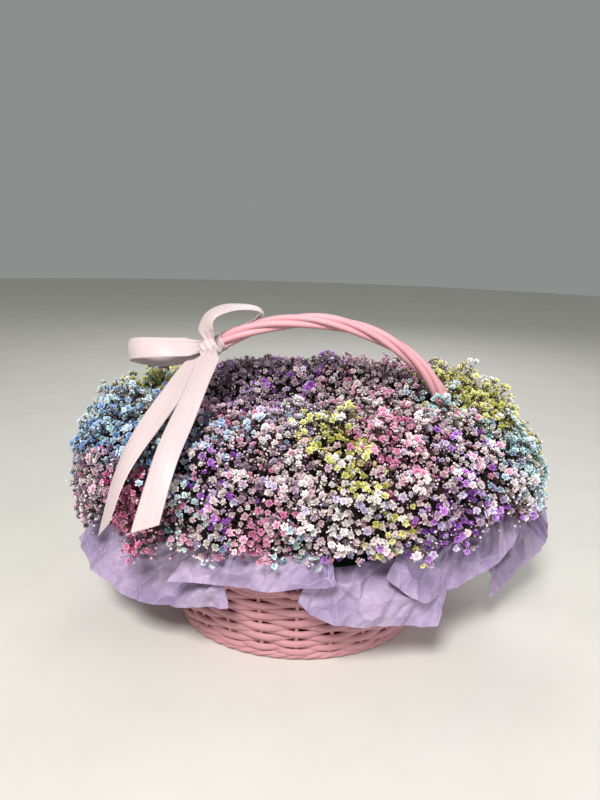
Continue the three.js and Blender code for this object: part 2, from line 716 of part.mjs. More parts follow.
const band = handleBand(BAND_INNER, BAND_INNER + BAND_THICKNESS, BAND_WIDTH);
const knotClearance = knotBall(GAP).add(handleBand(0, BAND_INNER + BAND_THICKNESS + GAP, BAND_WIDTH + 2 * GAP));
const handleSpace = solid(handleTube(0, BAND_INNER - 0.1, 0, 12, HANDLE_STEPS));
addPiece('ribbon_knot', geometryOf(band.add(knotBall(0).subtract(handleSpace))), RIBBON);
const UP_AND_OUT = [[-0.1, -0.6, 0.8], [-0.15, -0.8, 0.6], [-0.2, -0.95, 0.2]];
const TURNED_ASIDE = [[-0.1, -0.6, 0.8], [-0.25, -0.8, 0.55], [-0.85, -0.5, 0.15]];
addPiece('ribbon_tail_left', geometryOf(
  solid(ribbonStrip(TAIL_LEFT, TURNED_ASIDE, 0.5, 1, 14)).subtract(knotClearance),
), RIBBON);
addPiece('ribbon_tail_right', geometryOf(
  solid(ribbonStrip(TAIL_RIGHT, UP_AND_OUT, 0.5, 1, 14)).subtract(knotClearance),
), RIBBON);

const LOOP_LEFT_FACING = [
  [-0.1, -0.8, 0.6], [-0.2, -0.8, 0.6], [-1, -0.4, 0.2], [-0.4, 0.8, -0.5], [0, 0.8, -0.5],
];
const LOOP_TOP_FACING = [[-1, -0.3, 0], [-0.7, 0, 0.8], [0.4, 0, 1], [0.3, 0, -1], [0.6, 0, -0.8]];
addPiece('ribbon_loop_left', geometryOf(
  solid(ribbonStrip(LOOP_LEFT, LOOP_LEFT_FACING, 0.4, 0.4, 18)).subtract(knotClearance),
), RIBBON);
addPiece('ribbon_loop_top', geometryOf(
  solid(ribbonStrip(LOOP_TOP, LOOP_TOP_FACING, 0.4, 0.3, 18)).subtract(knotClearance.add(handleSpace)),
), RIBBON);

export default basket;
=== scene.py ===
# %% [markdown]
# # A standing basket of dyed baby's breath
# An oval wicker basket holds a wide cloud of small dyed blossoms. Tissue paper folds out over its rim,
# and a satin bow hangs from the left side of the handle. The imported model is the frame: it says where
# each piece is, so every piece here is made in its place, in metres.

import math

import bpy
import numpy as np
from mathutils import Matrix


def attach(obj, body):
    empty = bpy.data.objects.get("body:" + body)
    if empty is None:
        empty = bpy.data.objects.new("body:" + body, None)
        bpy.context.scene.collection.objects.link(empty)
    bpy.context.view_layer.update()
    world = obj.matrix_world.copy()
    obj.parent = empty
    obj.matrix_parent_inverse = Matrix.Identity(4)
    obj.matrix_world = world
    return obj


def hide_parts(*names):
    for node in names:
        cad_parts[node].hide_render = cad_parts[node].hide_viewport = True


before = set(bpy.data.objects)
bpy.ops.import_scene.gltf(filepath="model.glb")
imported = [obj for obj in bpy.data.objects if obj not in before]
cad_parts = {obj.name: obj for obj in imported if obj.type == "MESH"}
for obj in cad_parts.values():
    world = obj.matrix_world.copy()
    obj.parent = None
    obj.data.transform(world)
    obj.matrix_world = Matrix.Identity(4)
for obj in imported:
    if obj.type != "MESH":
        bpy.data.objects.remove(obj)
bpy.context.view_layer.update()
print("nodes in the frame:", len(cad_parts))

# %% [markdown]
# ## The camera
# The photograph was taken from a little above the rim, slightly left of the middle. The camera is
# placed by its axes instead of by angles, because they were worked out from the picture's perspective.


# %% Camera
def place_by_axes(name, data, right, up, back, place):
    """Adds a camera or a lamp that looks against its back direction."""
    thing = bpy.data.objects.new(name, data)
    axes = np.array([right, up, back, place]).T
    thing.matrix_world = Matrix(np.vstack([axes, [0, 0, 0, 1]]).tolist())
    bpy.context.scene.collection.objects.link(thing)
    return thing


VIEW_FROM = (-0.004, -0.705, 0.470)
VIEW_RIGHT = (0.99953, 0.00795, 0.02948)
VIEW_UP = (-0.03054, 0.26038, 0.96504)
VIEW_BACK = (0.0, -0.9655, 0.2605)
camera_data = bpy.data.cameras.new("front camera")
camera_data.lens = 27.135
camera_data.sensor_width = 36
camera_data.clip_start = 0.01
camera = place_by_axes("front_camera", camera_data, VIEW_RIGHT, VIEW_UP, VIEW_BACK, VIEW_FROM)
bpy.context.scene.camera = camera

# %% [markdown]
# ## Meshes from arrays
# Thousands of blossoms and long woven rods are quicker to compute as arrays than to add one by one.
# Each shape is a list of points, one of faces and one of UV pairs. One helper turns a shape into an
# object, dresses it and hangs it on the frame's only body.

# %% A piece from a shape
BODY = "root"
face_counts = {}


def add_piece(name, shape, material, replaced, uv_name="rod", smooth=True):
    """A shape is points (n, 3) in metres, faces (m, corners) as indices and a UV pair for each point."""
    points, faces, uv = shape
    mesh = bpy.data.meshes.new(name)
    mesh.vertices.add(len(points))
    mesh.vertices.foreach_set("co", points.astype(np.float32).ravel())
    mesh.loops.add(faces.size)
    mesh.loops.foreach_set("vertex_index", faces.astype(np.int32).ravel())
    mesh.polygons.add(len(faces))
    mesh.polygons.foreach_set("loop_start", np.arange(0, faces.size, faces.shape[1], dtype=np.int32))
    mesh.polygons.foreach_set("use_smooth", np.full(len(faces), smooth))
    layer = mesh.uv_layers.new(name=uv_name)
    layer.data.foreach_set("uv", uv.astype(np.float32)[faces.ravel()].ravel())
    mesh.update(calc_edges=True)
    mesh.validate()
    mesh.materials.append(material)
    piece = bpy.data.objects.new(name, mesh)
    bpy.context.scene.collection.objects.link(piece)
    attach(piece, BODY)
    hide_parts(replaced)
    face_counts[name] = len(faces)
    return piece


# %% [markdown]
# Several rods or blossoms often make one piece. Joining their shapes only shifts the face indices. The
# tables further down are text, because a row of plain numbers is the easiest to read and to change.


# %% Shapes and grids
def join(parts):
    """One shape from several; all their faces have the same number of corners."""
    points, faces, uvs = zip(*parts)
    starts = np.cumsum([0] + [len(part) for part in points[:-1]])
    faces = [part + start for part, start in zip(faces, starts)]
    return np.concatenate(points), np.concatenate(faces), np.concatenate(uvs)


def read_table(text):
    return [line.split() for line in text.strip().splitlines()]


def read_points(text):
    """Points written as numbers, with a comma between one point and the next."""
    return np.array([point.split() for point in text.split(",")], float)


def unit(vectors):
    return vectors / np.maximum(np.linalg.norm(vectors, axis=-1, keepdims=True), 1e-12)


def distance_along(line):
    """The distance of each point from the start of its line."""
    return np.concatenate([[0], np.cumsum(np.linalg.norm(np.diff(line, axis=0), axis=1))])


def grid_corners(rows, columns, round_rows=False, closed=False):
    """The four corner indices of each cell in a grid of points; a row may close to a ring, and the last
    row may join the first."""
    row_steps = np.arange(rows if closed else rows - 1)
    column_steps = np.arange(columns if round_rows else columns - 1)
    i, j = np.meshgrid(row_steps, column_steps, indexing="ij")
    ahead, beside = (i + 1) % rows, (j + 1) % columns
    return i * columns + j, i * columns + beside, ahead * columns + beside, ahead * columns + j


# %% [markdown]
# A rod is a tube swept along a line of points. The up direction fixes how its section turns, and the
# section may be flatter one way than the other, as a willow rod is when it is pressed into a weave.


# %% Rods
def rod(line, radius, sides=8, up=(0, 0, 1), closed=False, flatten=1.0):
    """A tube along line; radius is a number or one for each point; uv is (round, metres along)."""
    line = np.asarray(line, float)
    count = len(line)
    if closed:
        along = np.roll(line, -1, axis=0) - np.roll(line, 1, axis=0)
    else:
        along = np.gradient(line, axis=0)
    along = unit(along)
    side = unit(np.cross(along, np.broadcast_to(np.asarray(up, float), line.shape)))
    top = np.cross(side, along)
    turn = 2 * np.pi * np.arange(sides) / sides
    size = np.broadcast_to(np.asarray(radius, float), (count,))[:, None, None]
    ring = flatten * np.cos(turn)[None, :, None] * side[:, None] + np.sin(turn)[None, :, None] * top[:, None]
    points = (line[:, None] + size * ring).reshape(-1, 3)
    faces = np.stack(grid_corners(count, sides, True, closed), -1).reshape(-1, 4)
    if not closed:
        caps = []
        for m in range(sides // 2 - 1):
            cap = np.array([m, m + 1, sides - 2 - m, sides - 1 - m])
            caps += [cap[::-1], cap + (count - 1) * sides]
        faces = np.concatenate([faces, np.array(caps)])
    round_share = 1 - np.abs(2 * np.arange(sides) / sides - 1)
    uv = np.stack(np.broadcast_arrays(round_share[None], distance_along(line)[:, None]), -1)
    return points, faces, uv.reshape(-1, 2)


# %% [markdown]
# ## Painted willow
# The basket is sprayed in matt pink. Close up the paint is a little thicker in some places, fine wood
# fibres still show along each rod, and dust darkens it in patches. The wall, the rim, the handle and the
# base share this, so it is one node group with its own values in each material.


# %% Node helpers
def feed(tree, node, inputs):
    """Fills a node's inputs, each with a plain value or with another node's output."""
    for key, value in inputs.items():
        if isinstance(value, bpy.types.NodeSocket):
            tree.links.new(value, node.inputs[key])
        else:
            node.inputs[key].default_value = value


def add_node(tree, kind, inputs, **settings):
    node = tree.nodes.new(kind)
    for key, value in settings.items():
        setattr(node, key, value)
    feed(tree, node, inputs)
    return node


def noise(tree, place, scale, detail):
    values = {"Vector": place, "Scale": scale, "Detail": detail}
    return add_node(tree, "ShaderNodeTexNoise", values).outputs[0]


def stretch(tree, place, scale):
    return add_node(tree, "ShaderNodeMapping", {"Vector": place, "Scale": scale}).outputs[0]


def remap(tree, value, low, high, start=0.0, stop=1.0):
    """Numbers between start and stop become numbers between low and high."""
    ends = {"From Min": start, "From Max": stop, "To Min": low, "To Max": high}
    return add_node(tree, "ShaderNodeMapRange", {"Value": value, **ends}).outputs[0]


def maths(tree, operation, *values):
    return add_node(tree, "ShaderNodeMath", dict(enumerate(values)), operation=operation).outputs[0]


def mix(tree, share, first, second):
    """A colour between two; the colours of this node are its inputs 6 and 7 and its output 2."""
    return add_node(tree, "ShaderNodeMix", {0: share, 6: first, 7: second}, data_type="RGBA").outputs[2]


def srgb(hex_code):
    """A colour written as on a screen, such as f0a0a8, in Blender's linear numbers."""
    parts = [int(hex_code[i : i + 2], 16) / 255 for i in (0, 2, 4)]
    return tuple(c / 12.92 if c <= 0.04045 else ((c + 0.055) / 1.055) ** 2.4 for c in parts) + (1.0,)


# %% [markdown]
# Every group here gives the same three things: a colour, a roughness and a height for the bump.


# %% Groups and their materials
def new_group(name, **inputs):
    """A node group with these inputs and their usual values; returns it and what it is given."""
    group = bpy.data.node_groups.new(name, "ShaderNodeTree")
    for label, value in inputs.items():
        kind = "NodeSocketColor" if isinstance(value, tuple) else "NodeSocketFloat"
        group.interface.new_socket(label, in_out="INPUT", socket_type=kind).default_value = value
    group.interface.new_socket("Colour", in_out="OUTPUT", socket_type="NodeSocketColor")
    for label in ("Roughness", "Height"):
        group.interface.new_socket(label, in_out="OUTPUT", socket_type="NodeSocketFloat")
    return group, add_node(group, "NodeGroupInput", {}).outputs


def finish_group(group, colour, roughness, height):
    add_node(group, "NodeGroupOutput", {"Colour": colour, "Roughness": roughness, "Height": height})


def object_place(tree):
    return add_node(tree, "ShaderNodeTexCoord", {}).outputs["Object"]


def grouped_material(name, group, bump, distance, **values):
    """A Principled material that reads a group; values go to the group's inputs or to the shader's."""
    material = bpy.data.materials.new(name)
    material.use_nodes = True
    tree = material.node_tree
    shader = tree.nodes["Principled BSDF"]
    effect = add_node(tree, "ShaderNodeGroup", {}, node_tree=group)
    for key, value in values.items():
        owner = effect if key in effect.inputs else shader
        owner.inputs[key.replace("_", " ")].default_value = value
    height = effect.outputs["Height"]
    relief = add_node(tree, "ShaderNodeBump", {"Height": height, "Strength": bump, "Distance": distance})
    links = {"Base Color": effect.outputs["Colour"], "Roughness": effect.outputs["Roughness"]}
    feed(tree, shader, {**links, "Normal": relief.outputs[0]})
    return material


# %% Painted rod grain
rod_grain, given = new_group("painted rod grain", Paint=srgb("cf979e"), Shade=srgb("aa727b"), Fibres=1.0)
rod_map = add_node(rod_grain, "ShaderNodeUVMap", {}, uv_map="rod").outputs[0]
place = object_place(rod_grain)
fibre = noise(rod_grain, stretch(rod_grain, rod_map, (9, 22, 1)), 3.0, 5.0)
fibre_part = remap(rod_grain, fibre, 0.0, 0.55, 0.35, 0.75)
patch_part = remap(rod_grain, noise(rod_grain, place, 38.0, 3.0), 0.0, 0.5, 0.4, 0.75)
darker = maths(rod_grain, "MAXIMUM", fibre_part, patch_part)
tone = mix(rod_grain, darker, given["Paint"], given["Shade"])
rough = remap(rod_grain, noise(rod_grain, place, 420.0, 2.0), 0.42, 0.66)
finish_group(rod_grain, tone, rough, maths(rod_grain, "MULTIPLY", fibre, given["Fibres"]))
willow = grouped_material("pink painted willow", rod_grain, 0.5, 0.0006)
handle_willow = grouped_material(
    "pink painted handle", rod_grain, 0.4, 0.0005, Paint=srgb("e2a9b0"), Shade=srgb("c5838d"), Fibres=0.7
)

# %% [markdown]
# ## The woven wall
# Two weavers chase each other round 24 upright stakes: where one passes in front of a stake, the other
# passes behind. Each is one long rod on a slow spiral, so the rows climb as on a real basket. The rods
# are oval in section because the weave squeezes them, and small seeded wobbles keep them from looking
# machine made.

# %% The basket's oval
FOOT_A, FOOT_B = 0.148, 0.112
MOUTH_A, MOUTH_B = 0.175, 0.135
WALL_HEIGHT = 0.112
WALL_MIDDLE = -0.0035
STAKES = 24


def wall_oval(z):
    """Half length and half width of the wall's outside at a height."""
    t = np.clip(z / WALL_HEIGHT, 0, 1.2) ** 0.9
    return FOOT_A + (MOUTH_A - FOOT_A) * t, FOOT_B + (MOUTH_B - FOOT_B) * t


def on_oval(a, b, angle, z):
    return np.stack([a * np.cos(angle), b * np.sin(angle), z + 0 * angle], -1)


def on_wall(angle, z, out):
    """A point on the wall, out metres outside the middle of its thickness."""
    a, b = wall_oval(z)
    return on_oval(a + WALL_MIDDLE + out, b + WALL_MIDDLE + out, angle, z)


def wobble(angle, seed, terms=5, pace=1.0):
    """A smooth seeded wave round the basket, about -1 to 1."""
    dice = np.random.default_rng(seed)
    total = np.zeros_like(angle)
    for k in range(1, terms + 1):
        total += np.sin(k * pace * angle + dice.uniform(0, 6.28)) * dice.uniform(0.4, 1) / math.sqrt(terms)
    return total


# %% Weavers
WEAVE_ROWS = 11
WEAVE_BOTTOM, WEAVE_TOP = 0.0135, 0.098
WEAVER_RADIUS, WEAVER_SWING, WEAVER_FLATTEN = 0.0043, 0.0029, 0.68
STEPS_PER_STAKE = 7
LEVEL_TURNS = 1  # each weaver starts and ends with a level turn
TAPER_STEPS = 12
weave_turns = WEAVE_ROWS / 2 + 2 * LEVEL_TURNS
row_gap = (WEAVE_TOP - WEAVE_BOTTOM) / WEAVE_ROWS
wall_parts = []
for weaver, side in enumerate((1, -1)):
    steps = int(weave_turns * STAKES * STEPS_PER_STAKE)
    angle = np.linspace(0, 2 * np.pi * weave_turns, steps) + weaver * 0.35
    z = WEAVE_BOTTOM + row_gap * (weaver + angle / np.pi - 2 * LEVEL_TURNS)
    z = np.clip(z, WEAVE_BOTTOM - 0.001, WEAVE_TOP) + 0.0008 * wobble(angle, 5 + weaver, 9, 2.3)
    out = side * WEAVER_SWING * np.cos(angle * STAKES / 2) + 0.0004 * wobble(angle, 15 + weaver, 7, 3.1)
    size = WEAVER_RADIUS + 0.0004 * wobble(angle, 25 + weaver, 9, 1.7)
    size[:TAPER_STEPS] *= np.linspace(0.3, 1, TAPER_STEPS)
    size[-TAPER_STEPS:] *= np.linspace(1, 0.3, TAPER_STEPS)
    wall_parts.append(rod(on_wall(angle, z, out), size, flatten=WEAVER_FLATTEN))

# %% Stakes and the rope at the foot
STAKE_RADIUS, STAKE_BOTTOM, STAKE_TOP = 0.0024, 0.002, 0.104
FOOT_RODS, FOOT_TWISTS, FOOT_RADIUS = 3, 16, 0.0034
FOOT_Z, FOOT_LIFT, FOOT_OUT, FOOT_SWING = 0.0062, 0.0024, 0.0006, 0.0018
for stake in range(STAKES):
    angle = 2 * np.pi * (stake + np.zeros(9)) / STAKES
    z = np.linspace(STAKE_BOTTOM, STAKE_TOP, 9)
    wall_parts.append(rod(on_wall(angle, z, 0.0002 + 0 * z), STAKE_RADIUS, up=(0.3, 0.2, 0)))
for strand in range(FOOT_RODS):
    angle = np.linspace(0, 2 * np.pi, 240, endpoint=False)
    turn = angle * FOOT_TWISTS + 2 * np.pi * strand / FOOT_RODS
    line = on_wall(angle, FOOT_Z + FOOT_LIFT * np.sin(turn), FOOT_SWING * np.cos(turn) + FOOT_OUT)
    wall_parts.append(rod(line, FOOT_RADIUS, closed=True))

# %% [markdown]
# Near the top the stakes bend over and run slantwise to the border, so a band of crossing rods shows
# below the rim, with dark gaps between them.

# %% Slanting stake ends
SLANTS = ((-0.26, 0.0036, 3), (0.2, -0.0012, 8))  # lean, how far out it bows, seed
SLANT_BOTTOM, SLANT_RISE, SLANT_OUT, SLANT_RADIUS = 0.092, 0.027, 0.0014, 0.0033
for stake in range(STAKES):
    for lean, bow, seed in SLANTS:
        t = np.linspace(0, 1, 14)
        angle = 2 * np.pi * (stake + 0.12 * math.sin(seed * stake)) / STAKES + lean * t**1.2
        line = on_wall(angle, SLANT_BOTTOM + SLANT_RISE * t, bow * np.sin(np.pi * t) + SLANT_OUT)
        wall_parts.append(rod(line, SLANT_RADIUS, flatten=0.8))
add_piece("woven_wall", join(wall_parts), willow, "basket_wall")
print("woven wall faces:", face_counts["woven_wall"])

# %% [markdown]
# ## The border
# The rim is a thick rope of stake ends twisted over each other. Four strands wind round one oval; their
# middle is where the frame's ring is.

# %% Rope border
RIM_A, RIM_B, RIM_Z = 0.1715, 0.1315, 0.1199
RIM_TURNS = 11
RIM_ORBIT, RIM_RADIUS = 0.0038, 0.0036
rim_parts = []
for strand in range(4):
    angle = np.linspace(0, 2 * np.pi, 330, endpoint=False)
    turn = -angle * RIM_TURNS + np.pi * strand / 2 + 0.25 * wobble(angle, 40 + strand)
    out, lift = RIM_ORBIT * np.cos(turn), RIM_ORBIT * np.sin(turn)
    line = on_oval(RIM_A + out, RIM_B + out, angle, RIM_Z + lift)
    rim_parts.append(rod(line, RIM_RADIUS + 0.0002 * wobble(angle, 60 + strand, 8), closed=True))
add_piece("rope_border", join(rim_parts), willow, "basket_rim")
print("border faces:", face_counts["rope_border"])

# %% [markdown]
# ## The handle
# Four rods are pushed into the wall on each side and twisted round each other over the arch. The line
# below is the frame's own: half an ellipse, a nearly straight side and a foot inside the wall.

# %% The handle's line
ARCH_TOP, ARCH_RISE, ARCH_HALF, ARCH_SHIFT = 0.376, 0.146, 0.175, 0.006
HANDLE_AT_RIM, HANDLE_FOOT = 0.155, 0.040
ROD_RADIUS, ROD_ORBIT, ROD_PITCH = 0.0033, 0.00505, 0.232
SEEN_RADIUS = 0.0041  # with the paint and the bends of a real rod
WALL_THICKNESS, HANDLE_GAP = 0.0073, 0.0003
HANDLE_POINTS = 300


def handle_point(side, t):
    """Half of the handle: the arch until t is 0.5, the side until 0.8 and the foot in the wall until 1."""
    spring = ARCH_TOP - ARCH_RISE
    if t < 0.5:
        angle = t * math.pi
        return (ARCH_SHIFT + side * ARCH_HALF * math.sin(angle), 0, spring + ARCH_RISE * math.cos(angle))
    if t < 0.8:
        s = (t - 0.5) / 0.3
        start = ARCH_SHIFT + side * ARCH_HALF
        x = start + (side * HANDLE_AT_RIM - start) * s * s * (3 - 2 * s)
        return (x, 0, spring + (RIM_Z - spring) * s)
    z = RIM_Z + (HANDLE_FOOT - RIM_Z) * (t - 0.8) / 0.2
    inside = wall_oval(min(z, WALL_HEIGHT))[0] - WALL_THICKNESS - ROD_ORBIT - ROD_RADIUS - HANDLE_GAP
    return (side * min(HANDLE_AT_RIM, inside), 0, z)


def even_line(points, count):
    """The same line with its points an equal distance apart, and its length."""
    points = np.asarray(points, float)
    length = distance_along(points)
    at = np.linspace(0, length[-1], count)
    return np.stack([np.interp(at, length, points[:, k]) for k in range(3)], -1), length[-1]


half = np.linspace(1, 0, 400)
arch = [handle_point(-1, t) for t in half] + [handle_point(1, t) for t in half[::-1][1:]]
handle_line, handle_length = even_line(arch, HANDLE_POINTS)
handle_along = unit(np.gradient(handle_line, axis=0))
handle_out = np.stack([-handle_along[:, 2], 0 * handle_along[:, 0], handle_along[:, 0]], -1)
print("handle length, mm:", round(handle_length * 1000))

# %% Twisted handle rods
FRONT = np.array([0, -1.0, 0])
share = np.linspace(0, 1, HANDLE_POINTS)
for index in range(4):
    turn = 2 * np.pi * (index / 4 + share * handle_length / ROD_PITCH)
    line = handle_line + ROD_ORBIT * (np.cos(turn)[:, None] * handle_out + np.sin(turn)[:, None] * FRONT)
    size = SEEN_RADIUS + 0.0003 * wobble(share * 6.28, 70 + index, 6)
    strand = rod(line, size, 12, up=FRONT)
    add_piece(f"handle_strand_{index + 1}", strand, handle_willow, f"handle_rod_{index + 1}")

# %% [markdown]
# ## Blossoms
# Dyed baby's breath is sprayed or soaked, so each pompon has its own strength of colour: pale at the
# petal tips and deeper at the heart. The darker heart is partly painted shade, and the white on the tips
# partly a painted highlight. One material serves every blossom, bud and twig. A small colour chart holds
# all the dyes side by side, and each mesh point says with its chart place which dye it takes (across) and
# how near to a petal's tip it is, times the painted light it gets (up).

# %% The dye chart
# name, colour at the heart and colour at the tips
# the twig row is a dark stem colour, made darker still as painted shade in the gaps between blossoms
DYES = """
twig 1b1110 634540
calyx 3c3a28 8d8a68
cornflower 4a78c0 a6caf4
sky 8cbce2 dcf0fc
aqua 8cc6cc def6f6
lime b8bc48 eef092
lemon d4cb4e faf4a4
cream e2d4cc fffdfa
blush dcacb6 fff0f2
pink dc78ac ffc6de
rose dc68a0 ffb2d2
raspberry ac3472 f482b6
mauve 72506a cdaec4
violet 7a2aa6 d084ec
lilac b29acc f0e4fb
"""
CHART_COLUMNS = 16
chart_column = {row[0]: index for index, row in enumerate(read_table(DYES))}
TWIG, CALYX = chart_column["twig"], chart_column["calyx"]


def across_chart(column, shade):
    """Where a dye stands in the chart; shade 0 is its deep end and 1 its pale end."""
    return (column + 0.12 + 0.76 * shade) / CHART_COLUMNS


# %% Dyed petal material
petals = bpy.data.materials.new("dyed petals")
petals.use_nodes = True
tree = petals.node_tree
chart = add_node(tree, "ShaderNodeUVMap", {}, uv_map="OFBake")
dye, tip_times_light, _ = add_node(tree, "ShaderNodeSeparateXYZ", {0: chart.outputs[0]}).outputs
dye_ramp = add_node(tree, "ShaderNodeValToRGB", {0: dye})
stops = dye_ramp.color_ramp.elements
while len(stops) > 1:
    stops.remove(stops[-1])
for index, (_, deep, pale) in enumerate(read_table(DYES)):
    for part, code in ((0.12, deep), (0.88, pale)):
        stops.new((index + part) / CHART_COLUMNS).color = srgb(code)
stops.remove(stops[0])
# painted shade: the up value dims the colour towards each petal's heart and on deep blossoms
tip_light = {0: dye_ramp.outputs[0], "Scale": remap(tree, tip_times_light, 0.5, 1.0)}
lit = add_node(tree, "ShaderNodeVectorMath", tip_light, operation="SCALE").outputs[0]
# whiter towards the tips: pale petal tips, and partly a painted highlight
pale_tips_and_highlight = mix(tree, remap(tree, tip_times_light, 0.0, 0.38, 0.72), lit, srgb("fffafa"))
finish = {"Base Color": pale_tips_and_highlight, "Roughness": remap(tree, tip_times_light, 0.85, 0.6), "Specular IOR Level": 0.3}
feed(tree, tree.nodes["Principled BSDF"], finish)

# %% [markdown]
# Each blossom is a double one: four whorls of blunt petals, the outer one nearly flat and the inner
# ones standing up. A petal is a thin closed leaf with a raised middle. Four seeded kinds are enough,
# because every blossom is also turned, tilted and sized by chance.

# %% One blossom
WHORLS = ((6, 0.06, 1.0, 0.31), (5, 0.5, 0.97, 0.33), (4, 0.95, 0.86, 0.28), (2, 1.35, 0.7, 0.25))
PETAL_EDGE = [(0, 1), (1, 2), (2, 3), (3, 4), (4, 0)]
PETAL_FACES = np.array([(a, b, 5) for a, b in PETAL_EDGE] + [(b, a, 6) for a, b in PETAL_EDGE])
PETAL_TIPS = np.array([0, 0.8, 1, 1, 0.8, 0.75, 0.35])
TURN_CHANCE, LIFT_CHANCE = (-0.28, 0.28), (-0.22, 0.26)
LENGTH_CHANCE, WIDTH_CHANCE = (0.8, 1.08), (0.85, 1.1)
BLOSSOM_SEEDS = (11, 12, 13, 14)


def petal(reach, wide):
    """A flat petal along +X: its foot, four points round its end, and a point above and one below."""
    points = [[0, 0, 0], [0.64, -wide, 0], [0.98, -wide * 0.5, 0.07], [0.98, wide * 0.5, 0.07],
              [0.64, wide, 0], [0.72, 0, 0.12], [0.6, 0, -0.06]]
    return np.array(points) * (reach, 1, 1)


def blossom_kind(seed):
    """Points, faces and heart-to-tip values of one blossom of radius 1 that faces +Z."""
    dice = np.random.default_rng(seed)
    parts = []
    for count, rise, length, width in WHORLS:
        start = dice.uniform(0, 6.28)
        for k in range(count):
            turn = start + 2 * np.pi * k / count + dice.uniform(*TURN_CHANCE)
            lift = rise + dice.uniform(*LIFT_CHANCE)
            flat = petal(length * dice.uniform(*LENGTH_CHANCE), width * dice.uniform(*WIDTH_CHANCE))
            cos, sin = math.cos(lift), math.sin(lift)
            tilt = np.array([[cos, 0, -sin], [0, 1, 0], [sin, 0, cos]])
            cos, sin = math.cos(turn), math.sin(turn)
            spin = np.array([[cos, -sin, 0], [sin, cos, 0], [0, 0, 1]])
            parts.append((flat @ tilt.T @ spin.T, PETAL_FACES, PETAL_TIPS))
    return join(parts)


blossoms = [blossom_kind(seed) for seed in BLOSSOM_SEEDS]
print("petals in a blossom:", sum(count for count, *_ in WHORLS), "kinds:", len(blossoms))

# %% [markdown]
# A bud is a small closed ball, and a twig is a thin three-sided rod from one joint of the branch to the
# next. Both are far too small to need more faces.

# %% Buds and twigs
FIFTH_TURN, THIRD_TURN = 1.2566, 2.0944
bud_points = [(0, 0, -1)]
for wide, tall in ((0.8, -0.45), (0.95, 0.25)):
    for k in range(5):
        bud_points.append((wide * math.cos(k * FIFTH_TURN), wide * math.sin(k * FIFTH_TURN), tall))
bud_points.append((0, 0, 1.05))
bud_faces = []
for k in range(5):
    a, b = 1 + k, 1 + (k + 1) % 5
    bud_faces += [(0, b, a), (a, b, b + 5), (a, b + 5, a + 5), (a + 5, b + 5, 11)]
# a bud's up values run from its foot to its top, so its foot is darker, as painted shade
BUD = (np.array(bud_points, float), np.array(bud_faces), np.array([0.2] + [0.5] * 5 + [0.9] * 5 + [1.0]))
TWIG_FACES = read_points("0 1 4, 0 4 3, 1 2 5, 1 5 4, 2 0 3, 2 3 5, 0 2 1, 3 4 5").astype(int)
TWIG_TURN = np.array([0, THIRD_TURN, 2 * THIRD_TURN])


def cross_axes(normal):
    """Two directions square to each given one and to each other."""
    helper = np.where(np.abs(normal[:, 2:3]) < 0.9, [[0, 0, 1.0]], [[1.0, 0, 0]])
    side = unit(np.cross(helper, normal))
    return side, np.cross(normal, side)


def many(points, faces, columns, shades, tips):
    """One shape from copies, with points (copies, corners, 3); columns and shades say which dye each
    copy takes, and tips how near to a petal's tip each corner is, times its painted light."""
    offset = np.arange(len(points))[:, None, None] * points.shape[1]
    uv = np.stack(np.broadcast_arrays(across_chart(columns, shades)[:, None], tips), -1)
    return points.reshape(-1, 3), (faces[None] + offset).reshape(-1, 3), uv.reshape(-1, 2)


def scatter(kind, places, facings, sizes, spins, columns, shades, glow=1.0):
    """Copies of a small shape in many places; glow is painted shade: how much of each is in the light."""
    shape, faces, tips = kind
    normal = unit(facings)
    side, other = cross_axes(normal)
    cos, sin = np.cos(spins)[:, None], np.sin(spins)[:, None]
    across, onward = side * cos + other * sin, other * cos - side * sin
    local = shape[None] * sizes[:, None, None]
    points = places[:, None] + local[..., 0:1] * across[:, None] + local[..., 1:2] * onward[:, None]
    tips = tips[None] * np.broadcast_to(glow, len(places))[:, None]
    return many(points + local[..., 2:3] * normal[:, None], faces, columns, shades, tips)


def twigs(starts, ends, radii, dice):
    """Three-sided rods between pairs of points."""
    side, other = cross_axes(unit(ends - starts))
    ring = np.cos(TWIG_TURN)[:, None] * side[:, None] + np.sin(TWIG_TURN)[:, None] * other[:, None]
    points = np.concatenate([starts[:, None] + ring * radii[0], ends[:, None] + ring * radii[1]], 1)
    return many(points, TWIG_FACES, TWIG, dice.random(len(starts)), np.full((1, 6), 0.5))


# %% [markdown]
# ## The shape of the cloud
# The mass is a boxy dome, higher at the back and hollowed under the handle, so that a hand can reach in.
# These are the frame's own formulas. A level below 1 is inside the cloud.

# %% Dome formulas
DOME_X, DOME_Y, DOME_A, DOME_B, DOME_WAIST = 0.009, -0.003, 0.293, 0.184, 0.185


def dome_top(x, y):
    trough = 0.040 * np.exp(-((y / 0.038) ** 2)) / (1 + (np.abs(x) / 0.140) ** 6)
    return 0.312 + 0.24 * y + 0.03 * x - trough


def dome_level(p, inset):
    x = np.abs(p[..., 0] - DOME_X) / (DOME_A - inset)
    y = np.abs(p[..., 1] - DOME_Y) / (DOME_B - inset)
    plan = (x**2.5 + y**2.5) ** 1.6
    shoulder = 2 + np.where(p[..., 0] < DOME_X, 2.2, 1.2) * np.minimum(1, x * x)
    height = dome_top(p[..., 0], p[..., 1]) - inset - DOME_WAIST
    above = np.maximum(p[..., 2] - DOME_WAIST, 0) / height
    under = 0.095 + 0.120 * (p[..., 0] / DOME_A) ** 2 - inset
    below = np.maximum(DOME_WAIST - p[..., 2], 0) / under
    return plan + above**shoulder + below**2


def smooth_step(value, low, high):
    t = np.clip((value - low) / (high - low), 0, 1)
    return t * t * (3 - 2 * t)


